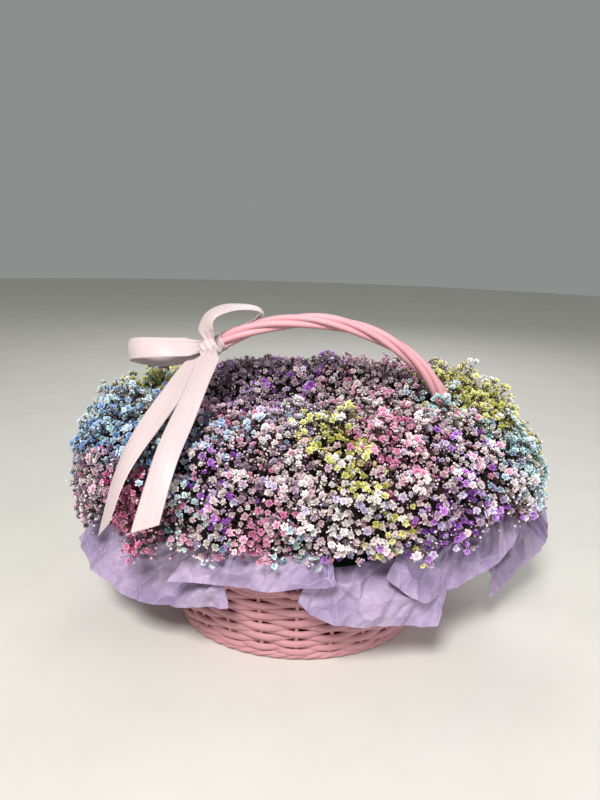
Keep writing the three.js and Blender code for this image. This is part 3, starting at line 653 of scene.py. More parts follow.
def flower_floor(x, y):
    """The underside of the flowers: lower outside the rim on the left and at the back, higher on the
    right."""
    out = np.clip((np.hypot(x / MOUTH_A, y / MOUTH_B) - 1.08) / 0.35, 0, 1)
    left, right = smooth_step(-x, 0.060, 0.200), smooth_step(x, 0.060, 0.200)
    back = smooth_step(y, 0.060, 0.110) * (1 - smooth_step(x, 0.110, 0.210))
    return 0.157 - 0.020 * left * out + 0.022 * right * out - 0.025 * back


# %% [markdown]
# Two questions are asked of the dome all the time: how far it is to its surface, found by halving, and
# which way is outwards, found from its slopes.


# %% Reach and outward direction
def dome_reach(start, directions, inset):
    """How far each direction runs from start before it leaves the cloud."""
    near, far = np.zeros(len(directions)), np.full(len(directions), 0.4)
    for _ in range(22):
        middle = (near + far) / 2
        inside = dome_level(start + directions * middle[:, None], inset) < 1
        near, far = np.where(inside, middle, near), np.where(inside, far, middle)
    return near


def dome_outward(points):
    slopes = [dome_level(points + move, 0) - dome_level(points - move, 0) for move in 0.0005 * np.eye(3)]
    return unit(np.stack(slopes, -1))


# %% [markdown]
# ## Which dye grows where
# A florist pushes in one dyed bunch after another, so colours come in loose drifts that mix at their
# borders. Each drift is a place on the cloud in millimetres, a size and the dyes in it, with the
# commonest first. The dusky mauve drifts at the back are partly painted shade, for a darker back.

# %% Drifts of colour
DRIFTS = """
-232 -50 262 1.1 cornflower sky cornflower sky aqua
-212 0 288 0.9 sky aqua cream sky cornflower
-180 45 300 1.0 lime lime lemon aqua
-225 110 280 1.0 lime sky lemon
-238 -110 200 1.0 mauve blush pink mauve cream
-178 -160 196 1.0 raspberry rose raspberry pink
-162 -122 262 0.8 sky cornflower aqua blush
-108 -106 276 0.9 mauve sky blush cornflower lilac
-116 -176 204 0.8 aqua cream sky lilac blush pink
-42 -184 196 0.7 pink rose blush pink
-4 -186 186 0.6 aqua cream sky blush
-70 -160 236 0.8 violet blush mauve cream lilac
-88 -182 206 0.6 violet blush violet pink cream
-92 -150 250 0.6 violet mauve violet blush
-78 -100 278 0.8 blush lilac violet mauve sky
26 -104 282 0.7 lemon lemon cream lime
48 -150 254 0.7 lemon cream lemon lime lilac
92 -180 204 0.6 lemon cream lemon blush
98 -120 272 0.9 rose blush rose pink blush
112 -160 236 0.8 blush rose cream blush lilac
155 -168 208 0.9 violet lilac mauve violet blush
218 -140 200 0.8 mauve blush lilac violet cream
163 -20 300 0.8 aqua sky aqua cream
214 0 298 1.1 lime lemon lemon lime cream
236 70 290 1.0 lemon lime cream
240 -90 262 0.9 aqua sky cream aqua
176 -112 268 0.8 blush cream violet lilac pink
226 -128 232 0.8 cream blush lilac sky
42 -181 205 0.9 cream blush cream lilac
-44 -140 252 1.0 blush cream blush pink lilac mauve
10 -160 236 0.9 blush mauve cream blush
-60 60 300 1.2 mauve mauve mauve blush lilac violet
-110 130 310 1.1 mauve mauve violet mauve blush
80 10 290 1.1 blush mauve cream pink blush
10 130 320 1.0 mauve mauve violet mauve lilac
110 120 320 1.1 blush mauve pink mauve blush
-76 -52 288 0.7 rose blush mauve pink
-29 -70 278 0.8 blush sky cream lilac mauve
49 -186 166 0.6 blush pink violet lilac
140 -50 296 0.8 blush rose cream mauve
-200 165 200 1.2 lime cream aqua lemon
-60 180 220 1.2 mauve lilac blush raspberry
60 180 220 1.2 violet lilac blush sky
190 165 210 1.2 lemon cream rose blush
-280 50 210 1.1 aqua sky cornflower cream
296 30 220 1.1 lemon aqua cream lime
"""
drifts = read_table(DRIFTS)
drift_places = np.array([row[:3] for row in drifts], float) / 1000
drift_sizes = np.array([row[3] for row in drifts], float)
drift_dyes = [[chart_column[name] for name in row[4:]] for row in drifts]
print("drifts of colour:", len(drifts))


def choose_dyes(points, dice):
    """The drift nearest to each point, with some chance at the borders, and one of its dyes."""
    shift = dice.normal(0, 0.010, points.shape)
    distance = np.linalg.norm((points + shift)[:, None] - drift_places[None], axis=-1) / drift_sizes[None]
    draws = dice.random(len(points)) ** 1.25
    chosen = [drift_dyes[drift] for drift in distance.argmin(1)]
    return np.array([dyes[int(draw * len(dyes))] for dyes, draw in zip(chosen, draws)], float)


# %% [markdown]
# ## Growing a spray
# A stem of baby's breath forks again and again. Here that is done from the outside in. Blossoms are
# placed evenly on the cloud's surface, drawn towards the nearest head and sunk where they lie between
# two. Fine twigs join them to small forks, those to a larger fork for each head, and those to the
# spray's dark middle. Buds stand among the blossoms, and two deeper layers fill the gaps.

# %% Where the sprays stand
# name, place in millimetres and main colour
SPRAYS = """
front_1 -212 -118 mauve
front_2 -126 -124 blue
front_3 -42 -120 rose
front_4 44 -126 pink
front_5 126 -118 yellow
front_6 212 -116 violet
midfront_1 -236 -36 blue
midfront_2 -150 -44 aqua
midfront_3 -62 -42 pink
midfront_4 28 -46 yellow
midfront_5 126 -40 rose
midfront_6 236 -34 pink
midback_1 -232 48 aqua
midback_2 -140 44 green
midback_3 -46 40 mauve
midback_4 52 44 pink
midback_5 146 42 aqua
midback_6 240 48 yellow
back_1 -196 122 green
back_2 -98 120 mauve
back_3 4 122 violet
back_4 104 120 pink
back_5 206 118 yellow
"""
sprays = read_table(SPRAYS)
stands = np.array([row[1:3] for row in sprays], float) / 1000
print("sprays:", len(sprays))


# %% Even spacing on a surface
def spread_out(points, spacing):
    """Indices of points that keep at least this far apart, taken in the order given."""
    kept = np.empty_like(points)
    chosen = []
    for index, point in enumerate(points):
        count = len(chosen)
        if count and ((kept[:count] - point) ** 2).sum(1).min() < spacing * spacing:
            continue
        kept[count] = point
        chosen.append(index)
    return np.array(chosen, int)


def nearest(points, targets):
    """For each point, the index of the nearest target and its distance."""
    distance = np.linalg.norm(points[:, None] - targets[None], axis=-1)
    return distance.argmin(1), distance.min(1)


def surface_places(centre, dice, inset, tries, spacing):
    """Evenly spaced places on the cloud's surface inside one spray's own cell."""
    height = 1 - 1.8 * (np.arange(tries) + dice.random(tries)) / tries
    turn = dice.uniform(0, 6.28) + np.arange(tries) * math.pi * (3 - math.sqrt(5))
    level = np.sqrt(np.maximum(0, 1 - height * height))
    directions = np.stack([level * np.cos(turn), level * np.sin(turn), height], -1)
    places = centre + directions * dome_reach(centre, directions, inset)[:, None]
    own = np.linalg.norm(places[:, :2] - centre[:2], axis=1)
    others = np.linalg.norm(places[:, None, :2] - stands[None], axis=-1).min(1)
    above_floor = places[:, 2] > flower_floor(places[:, 0], places[:, 1]) + 0.0015
    good = (own <= others + 1e-9) & above_floor
    places = places[good][dice.permutation(int(good.sum()))]
    return places[spread_out(places, spacing)]


HANDLE_ROOM = ROD_ORBIT + ROD_RADIUS + 0.004


def clear_of_handle(points, room):
    _, distance = nearest(points, handle_line[::4])
    return distance > HANDLE_ROOM + room


# %% [markdown]
# The heads are lumps of different heights with hollows between them. Behind the handle and at the two
# ends the whole surface is pressed in, and one heap on the right stands higher.

# %% Layers of blossoms
# inset below the cloud's surface, tries and spacing
HEADS, OUTER = (0.010, 1500, 0.034), (0.0035, 9000, 0.0068)
INNER, DEEPEST = (0.014, 6000, 0.0080), (0.025, 3500, 0.0100)
HEAD_SIZE, HEAD_RISE = 0.020, 0.011
PRESSED_BACK, PRESSED_LEFT, PRESSED_RIGHT, HEAP_RISE = 0.015, 0.018, 0.013, 0.010
HOLLOW_DEPTH, ROUGHNESS = 0.013, 0.004
# how deep the two deeper layers count, for their size and their painted shade
INNER_DEPTH, DEEPEST_DEPTH = 0.7, 1.3


def head_lumps(outer, heads, dice):
    """Draws the outer layer to its heads; returns places, outward directions and depth in a hollow."""
    head, gap = nearest(outer, heads)
    outer = outer + (heads[head] - outer) * (0.04 + 0.2 * dice.random(len(outer)))[:, None]
    rise = HEAD_RISE * dice.random(len(heads)) ** 2
    x, y, z = outer.T
    behind = smooth_step(y, 0.03, 0.09) * (1 - smooth_step(np.abs(x), 0.12, 0.18))
    low_end = smooth_step(-x, 0.18, 0.26) * (1 - smooth_step(z, 0.22, 0.27))
    right_end = smooth_step(x, 0.225, 0.285)
    heap = smooth_step(x, 0.16, 0.21) * (1 - right_end) * smooth_step(z, 0.25, 0.29) * (y > 0.01)
    pressed = PRESSED_BACK * behind * (dice.random(len(heads)) < 0.75)[head] + PRESSED_LEFT * low_end
    pressed = pressed + PRESSED_RIGHT * right_end - HEAP_RISE * heap
    lump = rise[head] * np.clip(1.3 - gap / HEAD_SIZE, 0, 1)
    sink = np.clip((gap - 0.55 * HEAD_SIZE) / (0.45 * HEAD_SIZE), 0, 1.3)
    outward = dome_outward(outer)
    lift = lump + 0.002 - pressed - HOLLOW_DEPTH * sink - ROUGHNESS * dice.random(len(outer))
    outer = outer + outward * lift[:, None]
    keep = dice.random(len(outer)) > 0.04 + 0.42 * sink
    # how deep each lies in a hollow, which also sets its painted shade
    return outer[keep], outward[keep], 0.35 * sink[keep]


def blossom_places(centre, dice):
    """One spray's heads, and the places, outward directions and depths of its blossoms."""
    layers = [surface_places(centre, dice, *layer) for layer in (HEADS, OUTER, INNER, DEEPEST)]
    heads, outer, inner, deepest = layers
    outer, outward, hollow = head_lumps(outer, heads, dice)
    deeper = np.concatenate([inner, deepest])
    deep_outward = dome_outward(deeper)
    deeper = deeper - deep_outward * (0.006 * dice.random(len(deeper)))[:, None]
    places = np.concatenate([outer, deeper])
    outward = np.concatenate([outward, deep_outward])
    depths = [hollow, np.full(len(inner), INNER_DEPTH), np.full(len(deepest), DEEPEST_DEPTH)]
    free = clear_of_handle(places, 0.0035)
    return heads, places[free], outward[free], np.concatenate(depths)[free]


# %% [markdown]
# The deeper a blossom lies, the darker it is painted: painted shade dims it and moves it to the deep end
# of its dye. Blossoms in the trough behind the handle get painted shade too. Each sits in a small green cup.

# %% Blossoms and their cups
BLOSSOM_RADIUS, CUP_SIZE = (0.0034, 0.0056), 0.33
FACING_SPREAD = 0.42
# painted shade: deeper blossoms and those in the trough are coloured darker, as if less light reached them
SHADE, SHADE_SPREAD, DEPTH_PAINTED_SHADE = 0.84, 0.2, 0.45
LIGHT_LOST, TROUGH_PAINTED_SHADE, LEAST_LIGHT = 0.72, 0.35, 0.08


def blossom_shapes(places, outward, depths, dice):
    """The blossoms' and cups' shapes, and the places and facings of the cups."""
    count = len(places)
    facings = unit(outward + dice.normal(0, FACING_SPREAD, (count, 3)))
    sizes = dice.uniform(*BLOSSOM_RADIUS, count) * (1 - 0.10 * depths)
    columns = choose_dyes(places, dice)
    # painted shade: deeper blossoms take the deep end of their dye
    shades = np.clip(dice.normal(SHADE, SHADE_SPREAD, count) - DEPTH_PAINTED_SHADE * depths, 0, 1)
    x, y, _ = places.T
    # the trough behind the handle, where painted shade falls
    trough = np.exp(-(((y - 0.016) / 0.036) ** 2)) * (1 - smooth_step(np.abs(x), 0.11, 0.16))
    # painted shade: glow dims each blossom and its pale tips
    glow = np.clip(1 - LIGHT_LOST * depths - TROUGH_PAINTED_SHADE * trough, LEAST_LIGHT, 1)
    spins = dice.uniform(0, 6.28, count)
    kinds = dice.integers(0, len(blossoms), count)
    each = (places, facings, sizes, spins, columns, shades, glow)
    parts = [scatter(shape, *(row[kinds == kind] for row in each)) for kind, shape in enumerate(blossoms)]
    cups = places - facings * (sizes * 0.25)[:, None]
    parts.append(scatter(BUD, cups, facings, sizes * CUP_SIZE, spins, CALYX, dice.random(count)))
    return parts, cups, facings


# %% [markdown]
# Every fork lies under the blossoms that it carries, so the twigs stay behind them.

# %% Twigs, forks and buds
FORK_SPACING, FORK_DEPTH, HEAD_FORK_DEPTH = 0.0105, (0.006, 0.012), 0.030
BUDS_PER_FORK, GREEN_BUDS = 5, 0.2
BUD_RADIUS, BUD_REACH, BUD_SPREAD = (0.0007, 0.0017), (0.009, 0.0185), 0.55
# a twig's radius at its start and at its end
CUP_TWIG, FORK_TWIG = (0.00028, 0.00042), (0.0005, 0.0008)
HEAD_TWIG, BUD_TWIG = (0.0009, 0.0016), (0.0002, 0.0004)


def branch_shapes(centre, heads, places, facings, cups, dice):
    """Twigs from the cups to forks, from there to each head's own fork, and on to the middle."""
    depth = dice.uniform(*FORK_DEPTH, len(places))
    forks = places - facings * 0.004 - dome_outward(places) * depth[:, None]
    forks = forks[spread_out(forks, FORK_SPACING)]
    fork_of, _ = nearest(cups, forks)
    parts = [twigs(cups, forks[fork_of], CUP_TWIG, dice)]
    head_forks = heads - dome_outward(heads) * HEAD_FORK_DEPTH
    head_of, _ = nearest(forks, head_forks)
    parts.append(twigs(forks, head_forks[head_of], FORK_TWIG, dice))
    head_forks = head_forks[np.unique(head_of)]
    middle = centre * (0.93, 0.93, 1) + dice.normal(0, 0.004, head_forks.shape)
    lowest = flower_floor(*centre[:2]) + 0.028
    middle[:, 2] = np.maximum(np.minimum(middle[:, 2], head_forks[:, 2] - 0.012), lowest)
    parts.append(twigs(head_forks, middle, HEAD_TWIG, dice))
    return parts, forks


def bud_shapes(forks, dice):
    """Buds on short twigs among the blossoms, and how many there are."""
    which = np.repeat(np.arange(len(forks)), BUDS_PER_FORK)
    aim = unit(dome_outward(forks)[which] + dice.normal(0, BUD_SPREAD, (len(which), 3)))
    buds = forks[which] + aim * dice.uniform(*BUD_REACH, len(which))[:, None]
    fine = (dome_level(buds, -0.004) < 1) & clear_of_handle(buds, 0.002)
    fine = fine & (buds[:, 2] > flower_floor(buds[:, 0], buds[:, 1]))
    buds, aim, which = buds[fine], aim[fine], which[fine]
    count = len(buds)
    columns = choose_dyes(buds, dice)
    columns[dice.random(count) < GREEN_BUDS] = CALYX
    sizes, spins = dice.uniform(*BUD_RADIUS, count), dice.uniform(0, 6, count)
    parts = [scatter(BUD, buds, aim, sizes, spins, columns, dice.uniform(0.35, 1, count))]
    parts.append(twigs(buds, forks[which], BUD_TWIG, dice))
    return parts, count


# %% [markdown]
# Seen through the gaps, the middle of a spray is a dark tangle in shade. It is filled with a rough core
# well below the blossoms, so no light comes through from behind; its near-black colour is painted shade.
# The spray's stem runs from it over the rim and down into its hole in the foam.

# %% The spray's core and stem
CORE_INSET, CORE_RINGS, CORE_STEPS = 0.038, 14, 22


def painted_shade_core(centre, dice):
    """A rough ball that stays inside the cloud, inside the spray's own cell and above the floor."""
    level = np.linspace(0, np.pi, CORE_RINGS)
    turn = 2 * np.pi * np.arange(CORE_STEPS) / CORE_STEPS
    tall, wide = np.cos(level)[:, None] + 0 * turn, np.sin(level)[:, None]
    directions = np.stack([wide * np.cos(turn), wide * np.sin(turn), tall], -1).reshape(-1, 3)
    directions = unit(directions + 1e-6)
    limit = np.maximum(dome_reach(centre, directions, CORE_INSET), 0.002)
    to_others = stands - centre[:2]
    distance = np.linalg.norm(to_others, axis=1)
    other = distance > 1e-6
    towards = directions[:, :2] @ (to_others[other] / distance[other][:, None]).T
    wall = np.where(towards > 0.01, (distance[other] / 2 - 0.001) / np.maximum(towards, 0.01), 1.0).min(1)
    drop = centre[2] - float(flower_floor(*centre[:2])) - 0.006
    down = np.where(directions[:, 2] < -0.02, drop / np.maximum(-directions[:, 2], 0.02), 1.0)
    reach = (limit**-10.0 + wall**-10.0 + np.maximum(down, 0.01) ** -10.0) ** -0.1
    points = centre + directions * (reach * dice.uniform(0.86, 1.0, len(reach)))[:, None]
    a, b, c, d = grid_corners(CORE_RINGS, CORE_STEPS, True)
    faces = np.concatenate([np.stack(three, -1).reshape(-1, 3) for three in ((a, d, c), (a, c, b))])
    # painted shade: the core takes the darkest end of the twig dye and a low up value
    u = (TWIG + 0.12 + 0.2 * dice.random(len(points))) / CHART_COLUMNS
    return points, faces, np.stack([u, np.full(len(u), 0.2)], -1)


def spray_stem(x, y):
    lift = smooth_step(math.hypot(x / MOUTH_A, y / MOUTH_B), 0.9, 1.4)
    start = np.array([x, y, 0.165 + 0.004 * lift])
    end = np.array([0.32 * x, 0.36 * y, 0.104 + 0.008 * lift])
    t = np.linspace(0.12, 1, 9)[:, None]
    knots = 0.0004 * np.sin(t[:, 0] * 19) ** 8
    points, faces, _ = rod(start + (end - start) * t, 0.0021 + knots, 6, up=(0.2, 0.4, 1))
    triangles = np.concatenate([faces[:, [0, 1, 2]], faces[:, [0, 2, 3]]])
    return points, triangles, np.tile([(CALYX + 0.3) / CHART_COLUMNS, 0.6], (len(points), 1))


# %% All sprays
TALLEST = 0.300


def grow_spray(index, x, y):
    """One spray's parts and how many blossoms and buds it has."""
    dice = np.random.default_rng(900 + index)
    top = min(float(dome_top(x, y)), TALLEST)
    centre = np.array([x, y, (float(flower_floor(x, y)) + top) / 2])
    heads, places, outward, depths = blossom_places(centre, dice)
    flowers, cups, facings = blossom_shapes(places, outward, depths, dice)
    branches, forks = branch_shapes(centre, heads, places, facings, cups, dice)
    buds, bud_count = bud_shapes(forks, dice)
    inside = [painted_shade_core(centre, np.random.default_rng(300 + index)), spray_stem(x, y)]
    return flowers + branches + buds + inside, (len(places), bud_count)


totals, most = [], 0
for index, (name, _, _, colour) in enumerate(sprays):
    parts, counts = grow_spray(index, *stands[index])
    slot, node = f"floret_{colour}", f"spray_{name}"
    add_piece(f"blossoms_{name}", join(parts), petals, node, "OFBake", smooth=False)
    totals.append(counts)
    most = max(most, face_counts[f"blossoms_{name}"])
print("blossoms and buds:", np.sum(totals, 0).tolist(), "most faces in a spray:", most)

# %% [markdown]
# ## Tissue paper
# Lilac tissue is tucked inside the rim and folded out over it. Paper doesn't stretch: it bends along
# straight creases. So each sheet is a fine grid over the frame's own curve, pressed into dished cells of
# four sizes that meet in straight ridges. They fade out where the paper is held at the rim. The finest
# creases are in the material, with a painted highlight along some of them.

# %% Crinkled paper
# how far the painted highlight reaches from a fine crease
CREASE_WIDTH = 0.022
crinkle, given = new_group(
    "paper crinkle", Paper=srgb("b09dbb"), Fold=srgb("837197"), Edge=srgb("d0c0dc"), Scale=30.0
)
place = object_place(crinkle)
bend = maths(crinkle, "SUBTRACT", noise(crinkle, place, given["Scale"], 3.5), 0.5)
cloud = noise(crinkle, place, 18.0, 4.0)
patches = remap(crinkle, cloud, 0.0, 0.8, 0.40, 0.65)
paper_tone = mix(crinkle, patches, given["Paper"], given["Fold"])
cells = {"Vector": place, "Scale": given["Scale"]}
creases = add_node(crinkle, "ShaderNodeTexVoronoi", cells, feature="DISTANCE_TO_EDGE")
from_crease = creases.outputs["Distance"]
# painted highlight: the paper is paler near the edges of the crease cells
pale = maths(crinkle, "MULTIPLY", remap(crinkle, from_crease, 0.6, 0.0, 0.0, CREASE_WIDTH), patches)
creased = mix(crinkle, pale, paper_tone, given["Edge"])
height = maths(crinkle, "MULTIPLY_ADD", from_crease, -0.9, maths(crinkle, "ABSOLUTE", bend))
finish_group(crinkle, creased, remap(crinkle, cloud, 0.45, 0.7), height)
tissue = grouped_material("lilac tissue", crinkle, 0.8, 0.004)

# %% The collar's sheets, as in the frame
MM = 0.001
TUCK = read_points("-9.5 98, -9.5 117.5, -6.2 126.1, 0 128.6")
# name, angles at the rim and height that pulls the arch up, then the free edge from end to end
TISSUE_SHEETS = """
front_left 189 240 158, -266 -22 97, -236 -82 84, -192 -114 78, -146 -130 79, -104 -144 85, -70 -154 98
front 243 281 181, -132 -147 122, -92 -161 123, -50 -170 127, -8 -176 131, 22 -180 135, 33 -181 145
front_right 284 313 162, 0 -168 113, 14 -167 95, 50 -163 84, 100 -154 80, 150 -139 69, 155 -128 92
right_front 316 352 176, 92 -162 138, 128 -151 108, 176 -120 108, 216 -94 120, 240 -74 146, 252 -44 158
right_back 368 404 150, 236 -60 54, 286 -16 76, 322 10 96, 320 20 136, 316 36 172, 296 78 160
back_right 411 448 170, 262 92 118, 238 132 108, 196 162 104, 150 180 104, 106 188 108, 74 190 116
back_left 451 491 150, 92 184 104, 44 190 96, -10 192 92, -66 188 92, -120 176 94, -158 160 98
left_back 494 531 172, -140 174 118, -186 152 106, -226 118 100, -252 78 98, -266 36 101, -268 -4 112
"""


def read_row(values, place):
    """A smooth curve through a list of values, read at a place between its entries."""
    row = np.clip(np.floor(place).astype(int), 0, len(values) - 2)
    t = place - row
    before, after = values[np.maximum(row - 1, 0)], values[np.minimum(row + 2, len(values) - 1)]
    here, ahead = values[row], values[row + 1]
    bend = (2 * here - before - ahead) * (1 - t) + (2 * ahead - here - after) * t
    return here + (ahead - here) * t + 0.25 * t * (1 - t) * bend


TUCKED_ROWS, FREE_ROWS, SHEET_COLUMNS = 26, 80, 130


def tissue_grid(start, stop, arch, edge):
    """The sheet's middle: tucked inside the rim, over it, and in an arch to its free edge."""
    u = np.linspace(0, 1, SHEET_COLUMNS)
    angle = np.radians(start + (stop - start) * u)
    place = np.linspace(0, len(TUCK) - 1, TUCKED_ROWS)[:-1, None]
    out, height = (read_row(column, place) * MM for column in TUCK.T)
    tuck = on_oval(RIM_A + out, RIM_B + out, angle, height)
    rim = on_oval(RIM_A, RIM_B, angle, TUCK[-1, 1] * MM)
    free = np.stack([read_row(column, u * (len(edge) - 1)) for column in edge.T], -1) * MM
    pull = (rim + free) / 2
    pull[:, 2] = arch * MM
    s = np.linspace(0, 1, FREE_ROWS)[:, None, None]
    over = (1 - s) ** 2 * rim + 2 * s * (1 - s) * pull + s * s * free
    over[..., 2] += 2.5 * MM * s[..., 0] * np.sin(15 * np.arctan2(rim[:, 1], rim[:, 0]))
    return np.concatenate([tuck, over])


# %% [markdown]
# Paper and ribbon are both grids of points. They are measured across and along, moved along their
# normals and then closed into thin sheets.


# %% Thin sheets
def grid_measures(grid):
    """Metres across and along a grid of points, and its normals."""
    down, right = np.gradient(grid, axis=0), np.gradient(grid, axis=1)
    across = np.linalg.norm(right, axis=-1).cumsum(1)
    along = np.linalg.norm(down, axis=-1).cumsum(0)
    return across, along, unit(np.cross(down, right))


def thick_sheet(grid, thickness):
    """Closes a grid of points into a thin sheet; uv is (across, along) in metres."""
    rows, columns = grid.shape[:2]
    across, along, normal = grid_measures(grid)
    points = np.concatenate([grid + normal * thickness / 2, grid - normal * thickness / 2]).reshape(-1, 3)
    count = rows * columns
    a, b, c, d = grid_corners(rows, columns)
    upper = np.stack([a, d, c, b], -1).reshape(-1, 4)
    number = np.arange(count).reshape(rows, columns)
    edge = np.concatenate([number[0, :-1], number[:-1, -1], number[-1, :0:-1], number[:0:-1, 0]])
    ahead = np.roll(edge, -1)
    sides = np.stack([edge, ahead, ahead + count, edge + count], -1)
    uv = np.tile(np.stack([across, along], -1).reshape(-1, 2), (2, 1))
    return points, np.concatenate([upper, upper[:, ::-1] + count, sides]), uv


# size of a cell in metres, depth of its dish and how much longer it is one way
CRUMPLE_CELLS = ((0.070, 0.24, 1.7), (0.034, -0.36, 0.5), (0.016, 0.34, 0.8), (0.008, -0.24, 1.0))
HELD_LENGTH, FREE_LENGTH = 0.034, 0.03


def crumple(grid, seed):
    """Moves a sheet along its normals into dished cells that meet in straight ridges."""
    dice = np.random.default_rng(seed)
    across, along, normal = grid_measures(grid)
    relief = np.zeros(across.shape)
    for cell, slope, longer in CRUMPLE_CELLS:
        count = int(across.max() * along.max() * longer / cell**2) + 4
        sites = dice.uniform((0, 0), (across.max(), along.max()), (count, 2))
        apart = (across[..., None] - sites[:, 0]) ** 2 + ((along[..., None] - sites[:, 1]) * longer) ** 2
        relief += slope * apart.min(-1) / cell
    free = np.clip((along - HELD_LENGTH) / FREE_LENGTH, 0, 1)
    return grid + normal * (relief * free)[..., None]


# %% Sheets of tissue
TISSUE_THICKNESS = 0.0003
tissue_facts = {}
for index, line in enumerate(TISSUE_SHEETS.strip().splitlines()):
    head, edge = line.split(",", 1)
    name, *rule = head.split()
    grid = crumple(tissue_grid(*map(float, rule), read_points(edge)), 500 + index)
    sheet = thick_sheet(grid, TISSUE_THICKNESS)
    add_piece(f"tissue_paper_{name}", sheet, tissue, f"tissue_{name}", smooth=False)
    wide = np.linalg.norm(np.diff(grid, axis=1), axis=-1).sum(1).max()
    long = np.linalg.norm(np.diff(grid, axis=0), axis=-1).sum(0).max()
    tissue_facts[name] = (round(wide * 1000), round(long * 1000))
print("tissue sheets, mm wide and long:", tissue_facts)

# %% [markdown]
# ## Satin ribbon
# The bow is 25 mm satin ribbon: a knot round the handle, a flat loop to the left, a thin loop over the
# top and two tails that lie on the blossoms. A ribbon keeps its width, so where it is drawn into the
# knot its section folds into small pleats instead of getting narrower.

# %% Satin
satin_weave, given = new_group("satin weave", Cloth=srgb("d0bfbf"), Shade=srgb("c0adae"))
strip = add_node(satin_weave, "ShaderNodeUVMap", {}, uv_map="strip").outputs[0]
thread = noise(satin_weave, stretch(satin_weave, strip, (1500, 220, 1)), 1.0, 2.0)
streak = noise(satin_weave, stretch(satin_weave, strip, (260, 14, 1)), 1.0, 3.0)
streaks = remap(satin_weave, streak, 0.0, 0.55, 0.35, 0.8)
cloth_tone = mix(satin_weave, streaks, given["Cloth"], given["Shade"])
finish_group(satin_weave, cloth_tone, remap(satin_weave, thread, 0.38, 0.54), thread)
sheen = {"Sheen_Weight": 0.1, "Sheen_Roughness": 0.4, "Specular_IOR_Level": 0.28}
satin = grouped_material("blush satin", satin_weave, 0.12, 0.0002, **sheen)

# %% Ribbon routes, as in the frame
RIBBON_WIDTH, RIBBON_THICKNESS = 0.025, 0.0004
# name and width where it starts and ends / route in millimetres / way it faces
ROUTES = """
tail_left 0.5 1 /
-115 -15 337, -130 -41 320, -143 -74 302, -156 -107 283,
-168 -138 260, -178 -163 235, -184 -178 211, -187 -186 196 /
-0.1 -0.6 0.8, -0.1 -0.85 0.5, -0.25 -0.9 0.35, -0.85 -0.5 0.15

tail_right 0.5 1 /
-107 -22 342, -110 -56 328, -116 -91 309, -123 -126 287,
-130 -157 264, -136 -179 240, -141 -193 218, -144 -199 205 /
-0.1 -0.6 0.8, -0.15 -0.8 0.6, -0.2 -0.95 0.2

loop_left 0.4 0.4 /
-117 -13 345, -137 -25 345, -164 -31 345, -190 -26 343, -205 -12 338,
-205 2 332, -190 8 327, -164 3 328, -138 -5 335, -119 -10 341 /
-0.1 -0.8 0.6, -0.2 -0.8 0.6, -1 -0.4 0.2, -0.4 0.8 -0.5, 0 0.8 -0.5

loop_top 0.4 0.3 /
-109 -17 349, -114 -18 366, -108 -14 381, -88 -3 390, -66 11 389,
-54 19 382, -62 17 374, -80 11 366, -96 5 357, -105 1 352 /
-0.3 -1 0.1, -0.6 -0.5 0.6, 0.4 0 1, 0.3 0 -1, 0.6 0 -0.8
"""


def smooth_route(points, count):
    """A rounded curve through the points, with its samples an equal distance apart."""
    ends = np.vstack([2 * points[0] - points[1], points, 2 * points[-1] - points[-2]])
    t = np.linspace(0, 1, 24, endpoint=False)[:, None]
    samples = []
    for k in range(1, len(ends) - 2):
        p0, p1, p2, p3 = ends[k - 1 : k + 3]
        square, cube = 2 * p0 - 5 * p1 + 4 * p2 - p3, 3 * p1 - p0 - 3 * p2 + p3
        samples.append(0.5 * (2 * p1 + (p2 - p0) * t + square * t**2 + cube * t**3))
    samples.append(points[-1:])
    return even_line(np.concatenate(samples), count)


STRIP_ROWS, STRIP_COLUMNS = 150, 21
PLEAT_DEPTH, CROWN, WAVE = 0.0042, 0.0022, 0.0016


def ribbon_grid(route, facing, pinch_start, pinch_end, slant):
    """A strip on its route, pleated at its pinched ends; a tail's end is cut with a slant."""
    line, length = smooth_route(route * MM, STRIP_ROWS)
    faces, _ = smooth_route(facing, STRIP_ROWS)
    along = unit(np.gradient(line, axis=0))
    across = unit(np.cross(along, faces))
    normal = unit(np.cross(across, along))
    u = np.linspace(0, 1, STRIP_ROWS)[:, None]
    w = np.linspace(-1, 1, STRIP_COLUMNS)[None]
    pinch = np.minimum(1, np.minimum(pinch_start + u * 6, pinch_end + (1 - u) * 6))
    half = RIBBON_WIDTH / 2 * pinch
    pleat = (1 - pinch) * PLEAT_DEPTH * np.sin(w * np.pi * 2.5)
    crown = (CROWN * (1 - w * w) + WAVE * np.sin(11 * u + 0.8 * w)) * np.sin(np.pi * u)
    grid = line[:, None] + across[:, None] * (half * w)[..., None]
    grid = grid + normal[:, None] * (pleat + crown)[..., None]
    cut = slant * w * np.clip((u - 0.94) / 0.06, 0, 1)
    return grid + along[:, None] * cut[..., None], length


# %% Loops and tails
TAIL_SLANT = 0.007
strip_lengths = {}
for entry in ROUTES.split("\n\n"):
    head, route, facing = entry.split("/")
    name, *pinch = head.split()
    tail = name.startswith("tail")
    slant = TAIL_SLANT if tail else 0.0
    grid, length = ribbon_grid(read_points(route), read_points(facing), *map(float, pinch), slant)
    strip = thick_sheet(grid, RIBBON_THICKNESS)
    piece = add_piece(f"satin_{name}", strip, satin, f"ribbon_{name}", "strip")
    strip_lengths[name] = round(length * 1000)
print("ribbon strips, mm long:", strip_lengths)

# %% [markdown]
# The knot is the same ribbon: one turn round the handle, and a short pleated turn over the front that
# holds the loops and tails together.

